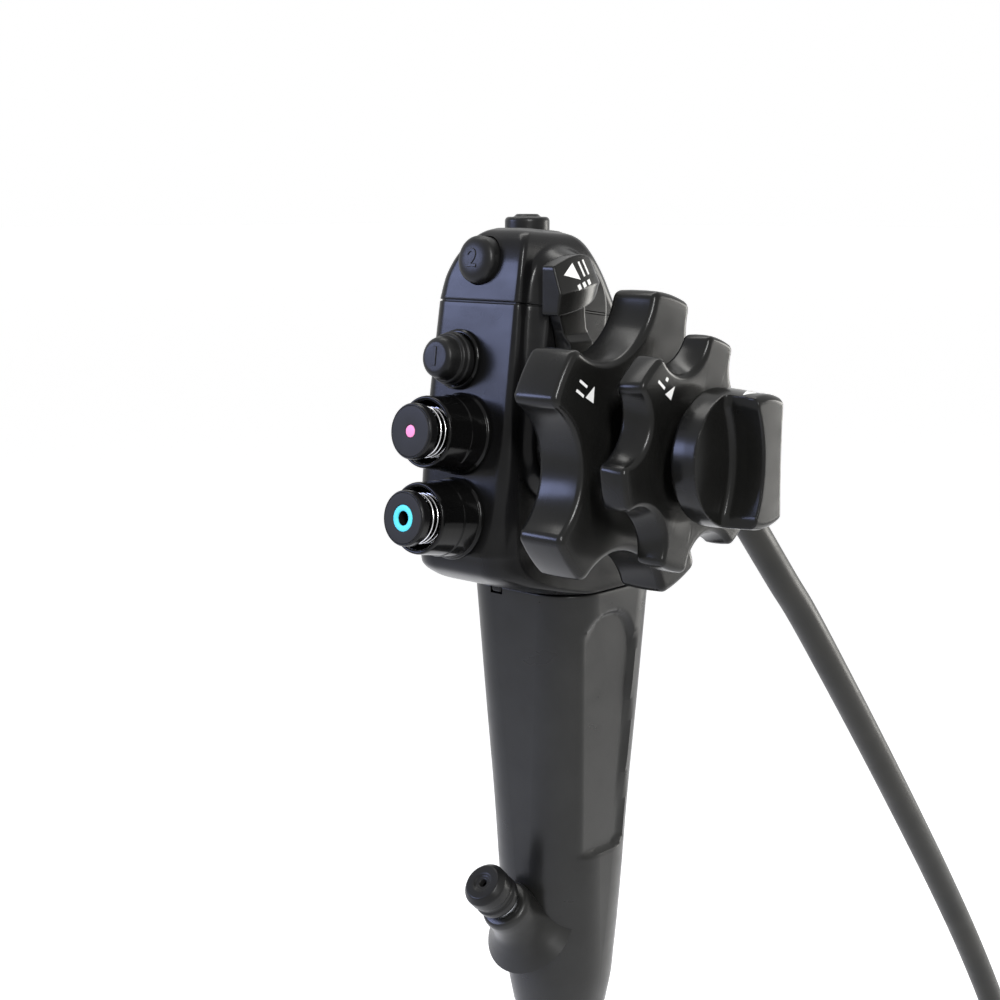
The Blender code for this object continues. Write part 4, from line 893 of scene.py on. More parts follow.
def printed(
    name: str, outlines: Sequence[Sequence[Pair]], on: Piece, axis: Axis
) -> Piece:
    """Flat marks laid on a piece's surface, looked for from outside along the axis.

    Args:
        name: the piece's name.
        outlines: closed outlines in the axis's XY.
        on: the piece that carries the marks.
        axis: its Z points outwards.

    Returns:
        The marks as one object.
    """
    proud, sunk, outside = 0.05, -0.25, 200.0
    mesh = on.data
    tree = BVHTree.FromPolygons([v.co for v in mesh.vertices], [p.vertices for p in mesh.polygons])
    down = -axis.way((0, 0, 1))
    builder = bmesh.new()
    for outline in outlines:
        builder.faces.new([builder.verts.new((x, y, 0.0)) for x, y in outline])
    bmesh.ops.triangulate(builder, faces=builder.faces)
    bmesh.ops.subdivide_edges(builder, edges=builder.edges, cuts=3, use_grid_fill=True)
    bmesh.ops.recalc_face_normals(builder, faces=builder.faces)
    grown = bmesh.ops.extrude_face_region(builder, geom=list(builder.faces), use_keep_orig=True)
    upper = {item for item in grown["geom"] if isinstance(item, bmesh.types.BMVert)}
    for point in builder.verts:
        far = Vector(axis.place(np.array([point.co.x, point.co.y, outside])))
        hit = tree.ray_cast(far, down)[0]
        out = proud if point in upper else sunk
        point.co = hit - down * out * MM
    bmesh.ops.recalc_face_normals(builder, faces=builder.faces)
    return released(name, builder)


def turned_by(outline: Sequence[Pair], angle: float, spot: Pair) -> list[Pair]:
    """An outline turned by an angle and moved to a spot."""
    c, s = math.cos(angle), math.sin(angle)
    return [(x * c - y * s + spot[0], x * s + y * c + spot[1]) for x, y in outline]


def square(half: float) -> list[Pair]:
    """A square's outline about the origin."""
    return [(-half, -half), (half, -half), (half, half), (-half, half)]


def stroke(start: Pair, end: Pair, width: float) -> list[Pair]:
    """A straight stroke's outline."""
    (x0, y0), (x1, y1) = start, end
    size = math.hypot(x1 - x0, y1 - y0) * 2 / width
    x, y = -(y1 - y0) / size, (x1 - x0) / size
    return [(x0 - x, y0 - y), (x1 - x, y1 - y), (x1 + x, y1 + y), (x0 + x, y0 + y)]


def arrow(width: float, height: float) -> list[Pair]:
    """A triangle that points up."""
    return [(-width / 2, -height / 2), (width / 2, -height / 2), (0.0, height / 2)]


# ---------------------------------------------------------------- housing and hood


@dataclass
class ControlBody:
    """The leaning housing with its valve face, and the hood over the switches."""

    back_x: float = 20.0
    back_bend_z: float = 48.0
    back_slope: float = math.tan(math.radians(31))
    wall: float = 2.5
    hood_wall: float = 1.8
    neck_z: float = 3.0
    shoulder_z: float = 15.0
    seam_at_zero: float = 68.85 - SLOPE * 11.0
    seam_gap: float = 0.3
    hood_top_z: float = 87.3
    hood_top_x: float = -15.0
    boss: float = 17.5
    lobe_radius: float = 12.4
    lobe_low: Pair = (KNOBS_X, KNOBS_Z)
    lobe_high: Pair = (-17.0, 69.5)
    edge: float = 0.3
    counts: Counts = (96, 22, 30, 26, 9)

    @staticmethod
    def front(z: float, tilt: float) -> float:
        """Where the valve face meets a section that tilts about x = 0."""
        return (FACE_X + (z - FACE_Z) * SLOPE) / (1 + tilt * SLOPE)

    def lobe(self, points: np.ndarray) -> np.ndarray:
        """Raises the knob side into the soft-edged pad that runs from the knobs to the hood.

        Args:
            points: one section's points.

        Returns:
            The points, moved out to the pad where they belong to it.
        """
        low, high = np.array(self.lobe_low), np.array(self.lobe_high)
        run, flat = high - low, points[:, (0, 2)]
        along = np.clip((flat - low) @ run / (run @ run), 0, 1)
        off = np.linalg.norm(flat - low - along[:, None] * run, axis=1) - self.lobe_radius
        inside = 1 - smoothstep(off, -1.0, 2.6)
        share = inside * smoothstep(points[:, 0] - points[:, 0].min(), 2.4, 6.5)
        side = smoothstep(-points[:, 1], 7.0, 11.5)
        points = points.copy()
        points[:, 1] -= np.maximum(0.0, self.boss + points[:, 1]) * share * side
        return points

    def housing_row(self, z: float, inset: float, lobed: bool = True) -> np.ndarray:
        """One section of the housing at a height, inset from its outside."""
        top = self.seam_at_zero
        last = self.back_x - (top - 1.2 - self.back_bend_z) * self.back_slope
        stops = (3.0, 4.8, 7.4, 10.8, self.shoulder_z, 30.0, 48.0, top)
        table = (
            (0, 0, 0, 0, 0, 0, 0.5 * SLOPE, SLOPE),
            (18, 18.1, 18.4, 18.7, 19.5, 20, 20, last),
            (18, 17.2, 16.4, 15.6, 15, 15, 14.2, 13.4),
            (10.3, 9.3, 8.4, 7.4, 6.4, 4.0, 2.4, 1.5),
            (10.3, 9.5, 9.0, 8.4, 7.8, 6.2, 4.8, 4.5),
            (10.3, 10, 9.6, 9.2, 9, 9, 9, 8),
        )
        tilt, back, half, lead, palm, rear = (eased(stops, line, z) for line in table)
        if z >= self.shoulder_z:
            front = self.front(z, tilt)
        else:
            front = eased(stops[:5], (-18.0, -25.5, -33.5, -38.2, -39.163), z)
        box = (front + inset, back - inset, -half + inset, half - inset)
        lead, palm = max(lead - inset, 0.8), max(palm - inset, 0.8)
        flat = round_rect(*box, lead, rear - inset, self.counts, palm)
        row = np.column_stack((flat, z - tilt * flat[:, 0]))
        return self.lobe(row) if lobed else row

    def housing(self) -> Piece:
        """The housing's shell with its snout and holes."""
        low, top, e, shoulder = self.neck_z, self.seam_at_zero, self.edge, self.shoulder_z
        lower, upper = np.linspace(low + e, shoulder, 30), np.linspace(shoulder, top - e, 66)
        rows = [self.housing_row(low, e)]
        rows += [self.housing_row(low + up, into) for up, into in rounding(e)[2::-1]]
        rows += [self.housing_row(z, 0.0) for z in np.concatenate((lower, upper[1:]))]
        rows += [self.housing_row(top - down, into) for down, into in rounding(e)]
        lifts = {10.8: 1.5, 7.4: 2.5, 4.8: 2.5}
        for z in (top, 60, 48, 30, 18, 14, 12.3, *lifts, low):
            rows.append(self.housing_row(z, self.wall, False) + (0, 0, lifts.get(z, 0.0)))
        shell = skin("housing_shell", rows, OBJECT, ring=True)
        flare = fair([(10.5, 6.0), (10.5, 7.0), (9.4, 7.0)], 0.5)
        snout_side = [(16.0, -6.0), (13.2, -3.0), (11.4, 0.4), (10.6, 3.4), (10.5, 4.5)]
        snout = revolve("snout", snout_side + flare[1:], CORD_EXIT)
        shaped(shell, Cut.ADD, [snout, self.key_tab()])
        holes = (
            (5.5, -8, 8, FACE),
            (5.5, -8, 8, LOWER_VALVE),
            (5.7, -8, 8, SWITCH_1),
            (8.3, 8, 22, KNOBS),
            (6.5, -20, 20, CORD_EXIT),
        )
        return shaped(shell, Cut.AWAY, [bore(*hole) for hole in holes])

    def key_tab(self) -> Piece:
        """The small tab that drops into the grip's notch."""
        rows = []
        for z, shrink in ((1.15, 0.4), (1.35, 0.12), (1.7, 0.0), (4.4, 0.0)):
            box = (-18.0 + shrink, -16.5, 4.05 + shrink, 7.15 - shrink)
            rows.append(raised(round_rect(*box, 0.5, 0.3, (6, 6, 6, 6, 4)), z))
        return skin("key", rows, OBJECT)

    def hood_values(self, share: float) -> tuple[float, ...]:
        """The hood's section values, part of the way up."""
        stops = (0.0, 0.27, 0.50, 0.67, 0.80, 0.90, 0.965, 1.0)
        first_back = self.back_x - (66.9 - self.back_bend_z) * self.back_slope
        table = (
            (1.0, 0.98, 0.92, 0.85, 0.77, 0.65, 0.55, 0.52),
            (0.0, 0.0, 0.25, 0.7, 1.3, 2.2, 3.3, 4.6),
            (first_back, 5.0, 2.2, -0.2, -2.2, -4.0, -6.0, -8.2),
            (13.4, 13.4, 13.2, 12.9, 12.4, 11.6, 10.5, 9.0),
            (13.4, 12.0, 10.0, 7.9, 5.9, 4.1, 2.7, 1.5),
            (1.5, 1.35, 1.25, 1.2, 1.4, 1.8, 2.2, 2.4),
        )
        return tuple(eased(stops, line, share) for line in table)

    def hood_row(
        self, share: float, inset: float, lower: float = 0.0, lobed: bool = True
    ) -> np.ndarray:
        """One section of the hood, part of the way up; lower sets an inner one down."""
        tilt, shy, back, knob, palm, corner = self.hood_values(share)
        tilt *= SLOPE
        seam = self.seam_at_zero + self.seam_gap - SLOPE * self.hood_top_x
        z = seam + share * (self.hood_top_z - seam) - lower
        level = z + tilt * self.hood_top_x
        front = self.front(level, tilt) + shy + inset
        lead, rear = max(corner - inset, 0.8), max(6.0 - share - inset, 1.4)
        side = max(4.5 - 2.0 * share - inset, 0.8)
        box = (front, back - inset, -knob + inset, palm - inset)
        flat = round_rect(*box, lead, rear, self.counts, side)
        row = np.column_stack((flat, level - tilt * flat[:, 0]))
        return self.lobe(row) if lobed else row

    def hood(self) -> Piece:
        """The hood's shell with its two switch holes."""
        e, wall = self.edge, self.hood_wall
        rows = [self.hood_row(0.0, e)]
        rise = e / (self.hood_top_z - self.seam_at_zero)
        for a in (1.1, 0.7, 0.35):
            rows.append(self.hood_row(rise * (1 - math.sin(a)), e * (1 - math.cos(a))))
        shares = np.concatenate((np.linspace(rise, 0.9, 44), np.linspace(0.91, 1.0, 12)))
        rows += [self.hood_row(share, 0.0) for share in shares]
        last = self.hood_row(1.0, 0.0, lobed=False)
        middle = last.mean(axis=0)
        for share, lift in ((0.93, 0.16), (0.84, 0.24), (0.7, 0.3), (0.5, 0.34), (0.25, 0.36)):
            rows.append(middle + (last - middle) * share + (0, 0, lift))
        inside = [self.hood_row(0.97, wall + 0.8, wall, False)]
        inside += [self.hood_row(share, wall, wall, False) for share in (0.9, 0.8, 0.67, 0.5, 0.27)]
        inside.append(self.hood_row(0.0, wall, 0.0, False))
        shell = skin("hood_shell", inside + rows, OBJECT)
        dome, button = bore(5.7, -6, 6, SWITCH_2), bore(5.5, 78, 96, Axis.at((SWITCH_3_X, 0, 0)))
        return shaped(shell, Cut.AWAY, [dome, button])

    def seal(self) -> Piece:
        """The dark seal in the seam between the shells."""
        low, high = self.seam_at_zero - 0.2, self.seam_at_zero + self.seam_gap + 0.2
        rows = [self.housing_row(z, 0.55) for z in (low, high)]
        rows += [self.housing_row(z, 1.5, False) for z in (high, low)]
        return skin("hood_seal", rows, OBJECT, ring=True)

    def build(self, fitter: Fitter) -> None:
        """Makes and fits both shells and the seal between them."""
        fitter.fit(self.seal(), RUBBER_BLACK, Body.CONTROL)
        fitter.fit(self.housing(), HOUSING_BLACK, Body.CONTROL, ["control_housing"])
        fitter.fit(self.hood(), HOUSING_BLACK, Body.CONTROL, ["top_hood"])


# ---------------------------------------------------------------- grip


@dataclass
class Grip:
    """The tapered grip with its thumb panel, key notch, channel port and coupling."""

    top: float = 2.7
    end: float = -108.0
    wall: float = 3.0
    panel_x: Pair = (-12.0, 7.0)
    panel_z: Pair = (-64.5, -2.5)
    panel_depth: float = 1.5
    counts: Counts = (74, 26, 26, 34, 13)

    def half(self, z: float) -> float:
        """The half width at a height."""
        stops = (-108.0, -98.0, -80.0, -52.2, -28.7, 2.7)
        return eased(stops, (11.5, 13.2, 14.3, 15.4, 16.55, 18.0), z)

    def row(self, z: float, inset: float = 0.0, sunk: bool = True) -> np.ndarray:
        """One section, with the thumb panel sunk into its knob side."""
        half = self.half(z) - inset
        corner = min(10.3 + (self.top - z) * 0.03, self.half(z) * 0.97) - inset
        points = raised(round_rect(-half, half, -half, half, corner, corner, self.counts), z)
        if not sunk:
            return points
        x0, x1 = self.panel_x
        z0, z1 = self.panel_z
        radius = 9.0 if z > (z0 + z1) / 2 else 4.0
        dx = np.abs(points[:, 0] - (x0 + x1) / 2) - (x1 - x0) / 2 + radius
        dz = abs(z - (z0 + z1) / 2) - (z1 - z0) / 2 + radius
        away = np.hypot(np.maximum(dx, 0), max(dz, 0)) + np.minimum(np.maximum(dx, dz), 0) - radius
        deep = 1 - smoothstep(away, -1.1, 0.15)
        start, low = 18.0 - self.panel_depth, self.half(z0) - self.panel_depth
        floor = start + (low - start) * (z1 - z) / (z1 - z0)
        reach = np.maximum(0.0, -points[:, 1] - floor) * (points[:, 1] < 0)
        points[:, 1] += reach * deep
        return points

    def shell(self) -> Piece:
        """The shell with its notch, port boss and bore."""
        e = 0.45
        rows = [self.row(self.end, 0.6, False), self.row(self.end + 0.2, 0.2, False)]
        rows += [self.row(z) for z in np.linspace(self.end + 0.7, -66, 40)]
        rows += [self.row(z) for z in np.linspace(-65.5, self.top - e, 124)]
        rows += [self.row(self.top - down, into, False) for down, into in rounding(e)]
        rows += [self.row(z, self.wall, False) for z in (self.top, -28.7, -66, -98, self.end)]
        shell = skin("grip_body", rows, OBJECT, ring=True)
        boss_side = [
            (12.0, -2.0), (9.0, 1.4), (7.2, 4.0), (6.5, 7.0), (6.5, 10.6), (6.1, 11.6), (5.4, 12.0),
        ]
        shaped(shell, Cut.ADD, [revolve("boss", fair(boss_side, 1.4), PORT)])
        notch = round_rect(-22.0, -16.1, 3.7, 7.5, 0.4, 0.5, (4, 6, 4, 6, 5))
        hollow = revolve("hollow", [(3.7, -14), (3.7, 20)], PORT)
        return shaped(shell, Cut.AWAY, [polygon_slab("notch", notch, 0.8, 6.0, OBJECT), hollow])

    def port(self) -> Piece:
        """The metal channel port."""
        tube = [
            (2.0, -3.0), (3.4, -3.0), (3.4, 12.3), (4.4, 12.3), (4.4, 13.5), (3.0, 14.0),
            (3.0, 18.5), (3.4, 19.0), (3.4, 20.0), (2.0, 20.0),
        ]
        return revolve("port_tube", fair(tube, 0.25, True), PORT, True)

    def port_valve(self) -> Piece:
        """The rubber valve on the port, with its grip ring and slit hole."""
        cap = [
            (3.7, 14.2), (5.2, 14.2), (5.6, 15.2), (5.6, 16.6), (5.15, 17.1),
            (5.15, 18.2), (5.6, 18.7), (5.6, 21.5), (4.4, 23.0), (2.4, 23.0),
            (1.8, 22.6), (1.0, 22.6), (0.6, 21.2), (3.7, 20.3),
        ]
        return revolve("port_valve", fair(cap, 0.35, True), PORT, True)

    def coupling(self) -> Piece:
        """The coupling ring, with milled ridges round it."""
        ring = [
            (6.5, -117.0), (9.0, -117.0), (9.55, -116.2), (9.55, -113.2), (9.1, -112.8),
            (9.1, -112.4), (11.0, -112.0), (11.0, -108.3), (6.5, -108.3),
        ]
        body = revolve("ring", fair(ring, 0.3, True), OBJECT, True)
        tooth = [(9.3, -0.32), (9.8, -0.1), (9.8, 0.1), (9.3, 0.32)]
        ridge = polygon_slab("ridge", tooth, -116.0, -113.4, OBJECT)
        ridges = round_repeat(STEEL.material(), "mill_ridges").run(ridge, Count=60)
        return joined("coupling_ring", [body, ridges])

    def build(self, fitter: Fitter) -> None:
        """Makes and fits the grip's pieces."""
        for make, finish, slot, node in (
            (self.shell, GRIP_BLACK, Slot.GRIP, "grip_shell"),
            (self.port, STEEL, Slot.STEEL, "channel_port"),
            (self.port_valve, RUBBER_BLACK, Slot.RUBBER, "channel_port_valve"),
            (self.coupling, STEEL, Slot.STEEL, "insertion_tube_coupling"),
        ):
            fitter.fit(make(), finish, Body.CONTROL, [node])


# ---------------------------------------------------------------- valves and switches


@dataclass
class Valve:
    """A button valve: flared collar, spring, finger cap and colour mark."""

    kind: str
    axis: Axis
    body: Body
    mark: Slot
    travel: float = 4.0
    cap_top: float = 16.94
    cap_radius: float = 6.29
    spring_low: float = 3.3
    spring_high: float = 14.0

    @property
    def hollow(self) -> bool:
        """Whether the cap has a hole, with the colour mark as a ring round it."""
        return self.mark is Slot.BLUE

    def collar(self) -> Piece:
        """The glossy collar: flared foot, a step, and a rounded rim."""
        side = [
            (5.5, 0.3), (9.41, 0.3), (9.41, 1.15), (9.1, 1.45), (8.9, 1.6), (8.66, 5.7),
            (8.5, 5.95), (8.46, 6.2), (8.3, 9.0), (8.16, 11.9), (8.0, 12.35), (7.7, 12.5),
            (7.35, 12.4), (7.1, 12.1), (7.0, 11.6), (7.0, 3.0), (5.5, 3.0),
        ]
        return revolve(f"{self.kind}_valve_collar", fair(side, 0.22, True), self.axis, True, 128)

    def cap(self) -> Piece:
        """The finger cap with a crisp rim round its inlay."""
        top, r, low = self.cap_top, self.cap_radius, self.cap_top - 2.7
        side = [
            (r - 0.35, low), (r, low + 0.4), (r, top - 0.55), (r - 0.3, top - 0.1),
            (r - 0.55, top - 0.06), (r - 0.6, top - 0.5), (1.65, top - 0.5),
        ]
        if self.hollow:
            side.append((1.65, low))
        section = fair(side, 0.12, self.hollow)
        return revolve(f"{self.kind}_finger_cap", section, self.axis, self.hollow, 128)

    def inlay(self) -> Piece:
        """The satin disc let into the cap, open round the colour mark."""
        top, r = self.cap_top, self.cap_radius
        inner = 3.05 if self.hollow else 1.45
        side = [
            (inner, top - 0.5), (inner, top - 0.1), (inner + 0.1, top),
            (r - 0.72, top), (r - 0.62, top - 0.1), (r - 0.62, top - 0.5),
        ]
        return revolve(f"{self.kind}_cap_inlay", fair(side, 0.08, True), self.axis, True, 128)

    def colour(self) -> Piece:
        """The colour mark: a dot, or a ring round the cap's hole."""
        seat, top = self.cap_top - 0.5, self.cap_top - 0.02
        side = [(1.4, seat), (1.4, top - 0.05), (1.1, top)]
        if self.hollow:
            side = [
                (1.65, seat), (3.0, seat), (3.0, top - 0.1),
                (2.75, top), (1.95, top), (1.65, top - 0.12),
            ]
        section = fair(side, 0.12, self.hollow)
        return revolve(f"{self.kind}_mark", section, self.axis, self.hollow)

    def spring(self) -> Piece:
        """The return spring between the collar's floor and the cap."""
        made = spring_recipe(SPRING_STEEL.material()).run(
            blank(f"{self.kind}_return_spring"),
            Turns=6.8,
            Radius=5.6 * MM,
            Height=(self.spring_high - self.spring_low - 0.8) * MM,
            Wire_Radius=0.25 * MM,
        )
        moved(made, Axis.at((0, 0, self.spring_low + 0.5), on=self.axis))
        return shaded(made)

    def build(self, fitter: Fitter) -> None:
        """Makes and fits the valve's pieces."""
        kind = self.kind
        fitter.fit(self.collar(), GLOSS_BLACK, Body.CONTROL, [f"{kind}_collar"])
        fitter.fit(self.cap(), HOUSING_BLACK, self.body, [f"{kind}_cap"])
        fitter.fit(self.inlay(), CAP_BLACK, self.body)
        paint, shape = (BLUE_MARK, "ring") if self.hollow else (PINK_MARK, "dot")
        fitter.fit(self.colour(), paint, self.body, [f"{kind}_colour_{shape}"])
        coil = fitter.fit(self.spring(), SPRING_STEEL, Body.CONTROL, [f"{kind}_spring"])
        foot = self.axis.place(np.array([0, 0, self.spring_low]))
        up = tuple(self.axis.way((0, 0, 1)))
        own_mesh(coil)
        fitter.dress(STEEL, f"{kind}_cylinder")
        fitter.dress(GLOSS_BLACK, f"{kind}_piston")


def figure(text: str, size: float, height: float, axis: Axis) -> Piece:
    """A plain raised number with rounded edges.

    Args:
        text: the number.
        size: its height in millimetres.
        height: how far up the axis its middle is.
        axis: what it stands on, with X up the number.

    Returns:
        The number as a mesh.
    """
    data = bpy.data.curves.new("figure", "FONT")
    data.body = text
    data.align_x = "CENTER"
    data.align_y = "CENTER"
    data.size = size * MM
    data.extrude = 0.2 * MM
    data.bevel_depth = 0.12 * MM
    data.bevel_resolution = 2
    data.offset = 0.02 * MM
    word = linked("figure", data)
    graph = bpy.context.evaluated_depsgraph_get()
    made = linked("figure", bpy.data.meshes.new_from_object(word.evaluated_get(graph)))
    bpy.data.objects.remove(word)
    return moved(made, Axis.at((0, 0, height), (0, 0, -math.pi / 2), on=axis))


@dataclass
class Switches:
    """The three remote switches."""

    bellows_height: float = 8.1
    dome_radius: float = 5.4
    dome_height: float = 2.8

    def ring(self, axis: Axis) -> Piece:
        """The low ring round the bellows."""
        side = [(5.9, 0.3), (6.9, 0.3), (6.9, 0.9), (6.5, 1.3), (5.9, 1.3)]
        return revolve("bellows_ring", fair(side, 0.2, True), axis, True)

    def bellows(self, axis: Axis) -> Piece:
        """The rubber bellows with a step, a ring line and a raised number."""
        top = self.bellows_height
        side = [
            (5.4, -3.0), (5.4, 2.2), (6.15, 2.45), (6.2, 2.9), (6.1, 3.2),
            (5.85, 3.35), (5.75, 4.3), (5.5, 4.55), (5.1, 4.65), (5.0, 5.0),
            (4.8, 6.4), (4.4, 7.5), (3.5, top), (2.6, top + 0.02),
        ]
        body = revolve("bellows", fair(side, 0.45), axis)
        return joined("switch_1_bellows", [body, figure("1", 6.0, top - 0.1, axis)])

    def dome(self, axis: Axis) -> Piece:
        """The flat dome on the hood's front, with a raised number."""
        r, h = self.dome_radius, self.dome_height
        side = [(r, -3.0), (r, 0.32 * h)]
        for degrees in range(8, 90, 9):
            a = math.radians(degrees)
            side.append((r * math.cos(a) ** 0.55, h * (0.32 + 0.68 * math.sin(a))))
        body = revolve("dome", side, axis)
        return joined("switch_2_dome", [body, figure("2", 5.8, h - 0.12, axis)])

    def top(self, axis: Axis) -> Piece:
        """The round button on the hood's top, with a raised ring and pip."""
        side = [
            (5.2, -7.0), (5.2, -1.5), (5.0, -1.0), (4.6, -0.72), (4.1, -0.66), (3.7, -0.7),
            (3.2, -0.66), (2.75, -0.3), (2.5, -0.06), (2.1, 0.0), (1.5, -0.16), (0.9, -0.2),
        ]
        return revolve("switch_3_cap", fair(side, 0.3), axis)

    def build(self, fitter: Fitter) -> None:
        """Makes and fits the switches."""
        three = Axis.at((SWITCH_3_X, 0, 91.2))
        fitter.fit(self.ring(SWITCH_1), GLOSS_BLACK, Body.CONTROL, ["switch_1_ring"])
        buttons = (
            (self.bellows(SWITCH_1), Body.SWITCH_1),
            (self.dome(SWITCH_2), Body.SWITCH_2),
            (self.top(three), Body.SWITCH_3),
        )
        for number, (button, body) in enumerate(buttons, 1):
            fitter.fit(button, RUBBER_BLACK, body, [f"switch_{number}_button"])
        fitter.dress(GLOSS_BLACK, "switch_1_body", "switch_2_body", "switch_3_body")


# ---------------------------------------------------------------- knobs and locks


@dataclass
class FingerWheel:
    """One angulation wheel: round-cornered lobes between scallops, a dished face and a hub.

    tip and valley are the outline's largest and smallest radius, tip_half is half the angle
    that a lobe's tip takes up, first is the first lobe's angle, corner rounds a lobe's
    sides, and draft is how much the valley grows towards the wheel's back.
    """

    name: str
    node: str
    body: Body
    lobes: int
    first: float
    tip: float
    valley: float
    tip_half: float
    corner: float
    low: float
    high: float
    hub_back: float
    hub: float
    bore: float
    edge: float
    draft: float

    def outline(self, back: float) -> tuple[np.ndarray, np.ndarray]:
        """One lobe's outline from scallop middle to scallop middle.

        Args:
            back: how far back through the wheel, 0 at the face and 1 behind.

        Returns:
            Its points, and the outward direction at each.
        """
        n, tip, corner = self.lobes, self.tip, self.corner
        valley = self.valley + self.draft * back
        half = math.pi / n - self.tip_half
        far = (tip**2 - valley**2) / (2 * (tip * math.cos(half) - valley))
        scallop = far - valley
        along = (far**2 + (tip - corner) ** 2 - (scallop + corner) ** 2) / (2 * far)
        side = math.sqrt((tip - corner) ** 2 - along**2)
        lobe_angle = math.pi / n - math.atan2(side, along)
        pivot = (tip - corner) * np.array([math.cos(lobe_angle), math.sin(lobe_angle)])
        valley_centre = far * np.array([math.cos(math.pi / n), math.sin(math.pi / n)])
        toward = valley_centre - pivot
        last = math.atan2(toward[1], toward[0])
        start, end = last + math.pi, math.pi / n + math.pi
        arcs = (
            (0.0, tip, 1, np.linspace(0, lobe_angle, 12)),
            (pivot, corner, 1, np.linspace(lobe_angle, last, 14)[1:]),
            (valley_centre, scallop, -1, np.linspace(start, end, 34)[1:]),
        )
        points, ways = [], []
        for centre, radius, side_out, angles in arcs:
            for a in angles:
                way = np.array([math.cos(a), math.sin(a)])
                points.append(centre + radius * way)
                ways.append(side_out * way)
        flip = np.array([1.0, -1.0])
        halves = (np.array(points), np.array(ways))
        return tuple(np.concatenate((half[:0:-1] * flip, half)) for half in halves)

    def sector(self) -> Piece:
        """One lobe of the wheel, open where it meets the next."""
        points, _ = self.outline(0.0)
        low, high, dish = self.low, self.high, 0.9
        facing = points / np.linalg.norm(points, axis=1)[:, None]

        def rim(inset: float, z: float) -> np.ndarray:
            """The outline inset at a height."""
            spots, out = self.outline((high - z) / (high - low))
            return raised(spots - out * inset, z)

        back = [(self.bore, self.hub_back), (self.hub, self.hub_back), (self.hub + 0.3, low + 0.2)]
        rows = [raised(facing * r, z) for r, z in fair(back, 0.7)[:-1]]
        under, foot = rim(self.edge, low), raised(facing * (self.hub + 0.3), low + 0.3)
        rows += [foot + (under - foot) * share for share in (0.0, 0.12, 0.4, 0.75)]
        turns = rounding(self.edge, np.linspace(0, math.pi / 2, 8))
        rows += [rim(inset, low + up) for inset, up in turns]
        rows += [rim(-0.12, low + (high - low) * share) for share in (0.35, 0.5, 0.65)]
        rows += [rim(inset, high - down) for inset, down in turns[::-1]]
        brim, centre = rim(self.edge, high), raised(facing * (self.hub + 1.0), high - dish)
        for share in (0.1, 0.25, 0.42, 0.6, 0.72, 0.82, 0.9, 0.96, 1.0):
            row = brim + (centre - brim) * share
            reach = np.hypot(row[:, 0], row[:, 1])
            rise = smoothstep(reach, self.hub + 1.0, self.valley - self.edge - 0.5)
            row[:, 2] = high - dish * (1 - rise)
            rows.append(row)
        face = [
            (self.hub + 0.4, high - dish), (self.hub - 0.5, high - 0.5),
            (self.hub - 1.6, high - 0.1), (self.bore + 0.8, high - 0.05), (self.bore, high - 0.3),
        ]
        rows += [raised(facing * r, z) for r, z in fair(face, 0.6)]
        spin = Axis.at((0, 0, 0), (0, 0, self.first))
        faces = strips(len(points), len(rows), ring=True, closed=False)
        return solid("sector", np.concatenate(rows), faces, spin)

    def build(self, fitter: Fitter, marks: Sequence[Sequence[Pair]]) -> None:
        """Makes and fits the wheel and its printed marks."""
        recipe = round_repeat(KNOB_BLACK.material(), "repeat_lobes")
        wheel = recipe.run(self.sector(), Count=self.lobes)
        wheel.name = self.name
        shaded(moved(wheel, KNOBS), WHEEL_SHARP)
        fitter.fit(wheel, KNOB_BLACK, self.body, [self.node])
        fitter.fit(printed(f"{self.name}_marks", marks, wheel, KNOBS), WHITE_PRINT, self.body)


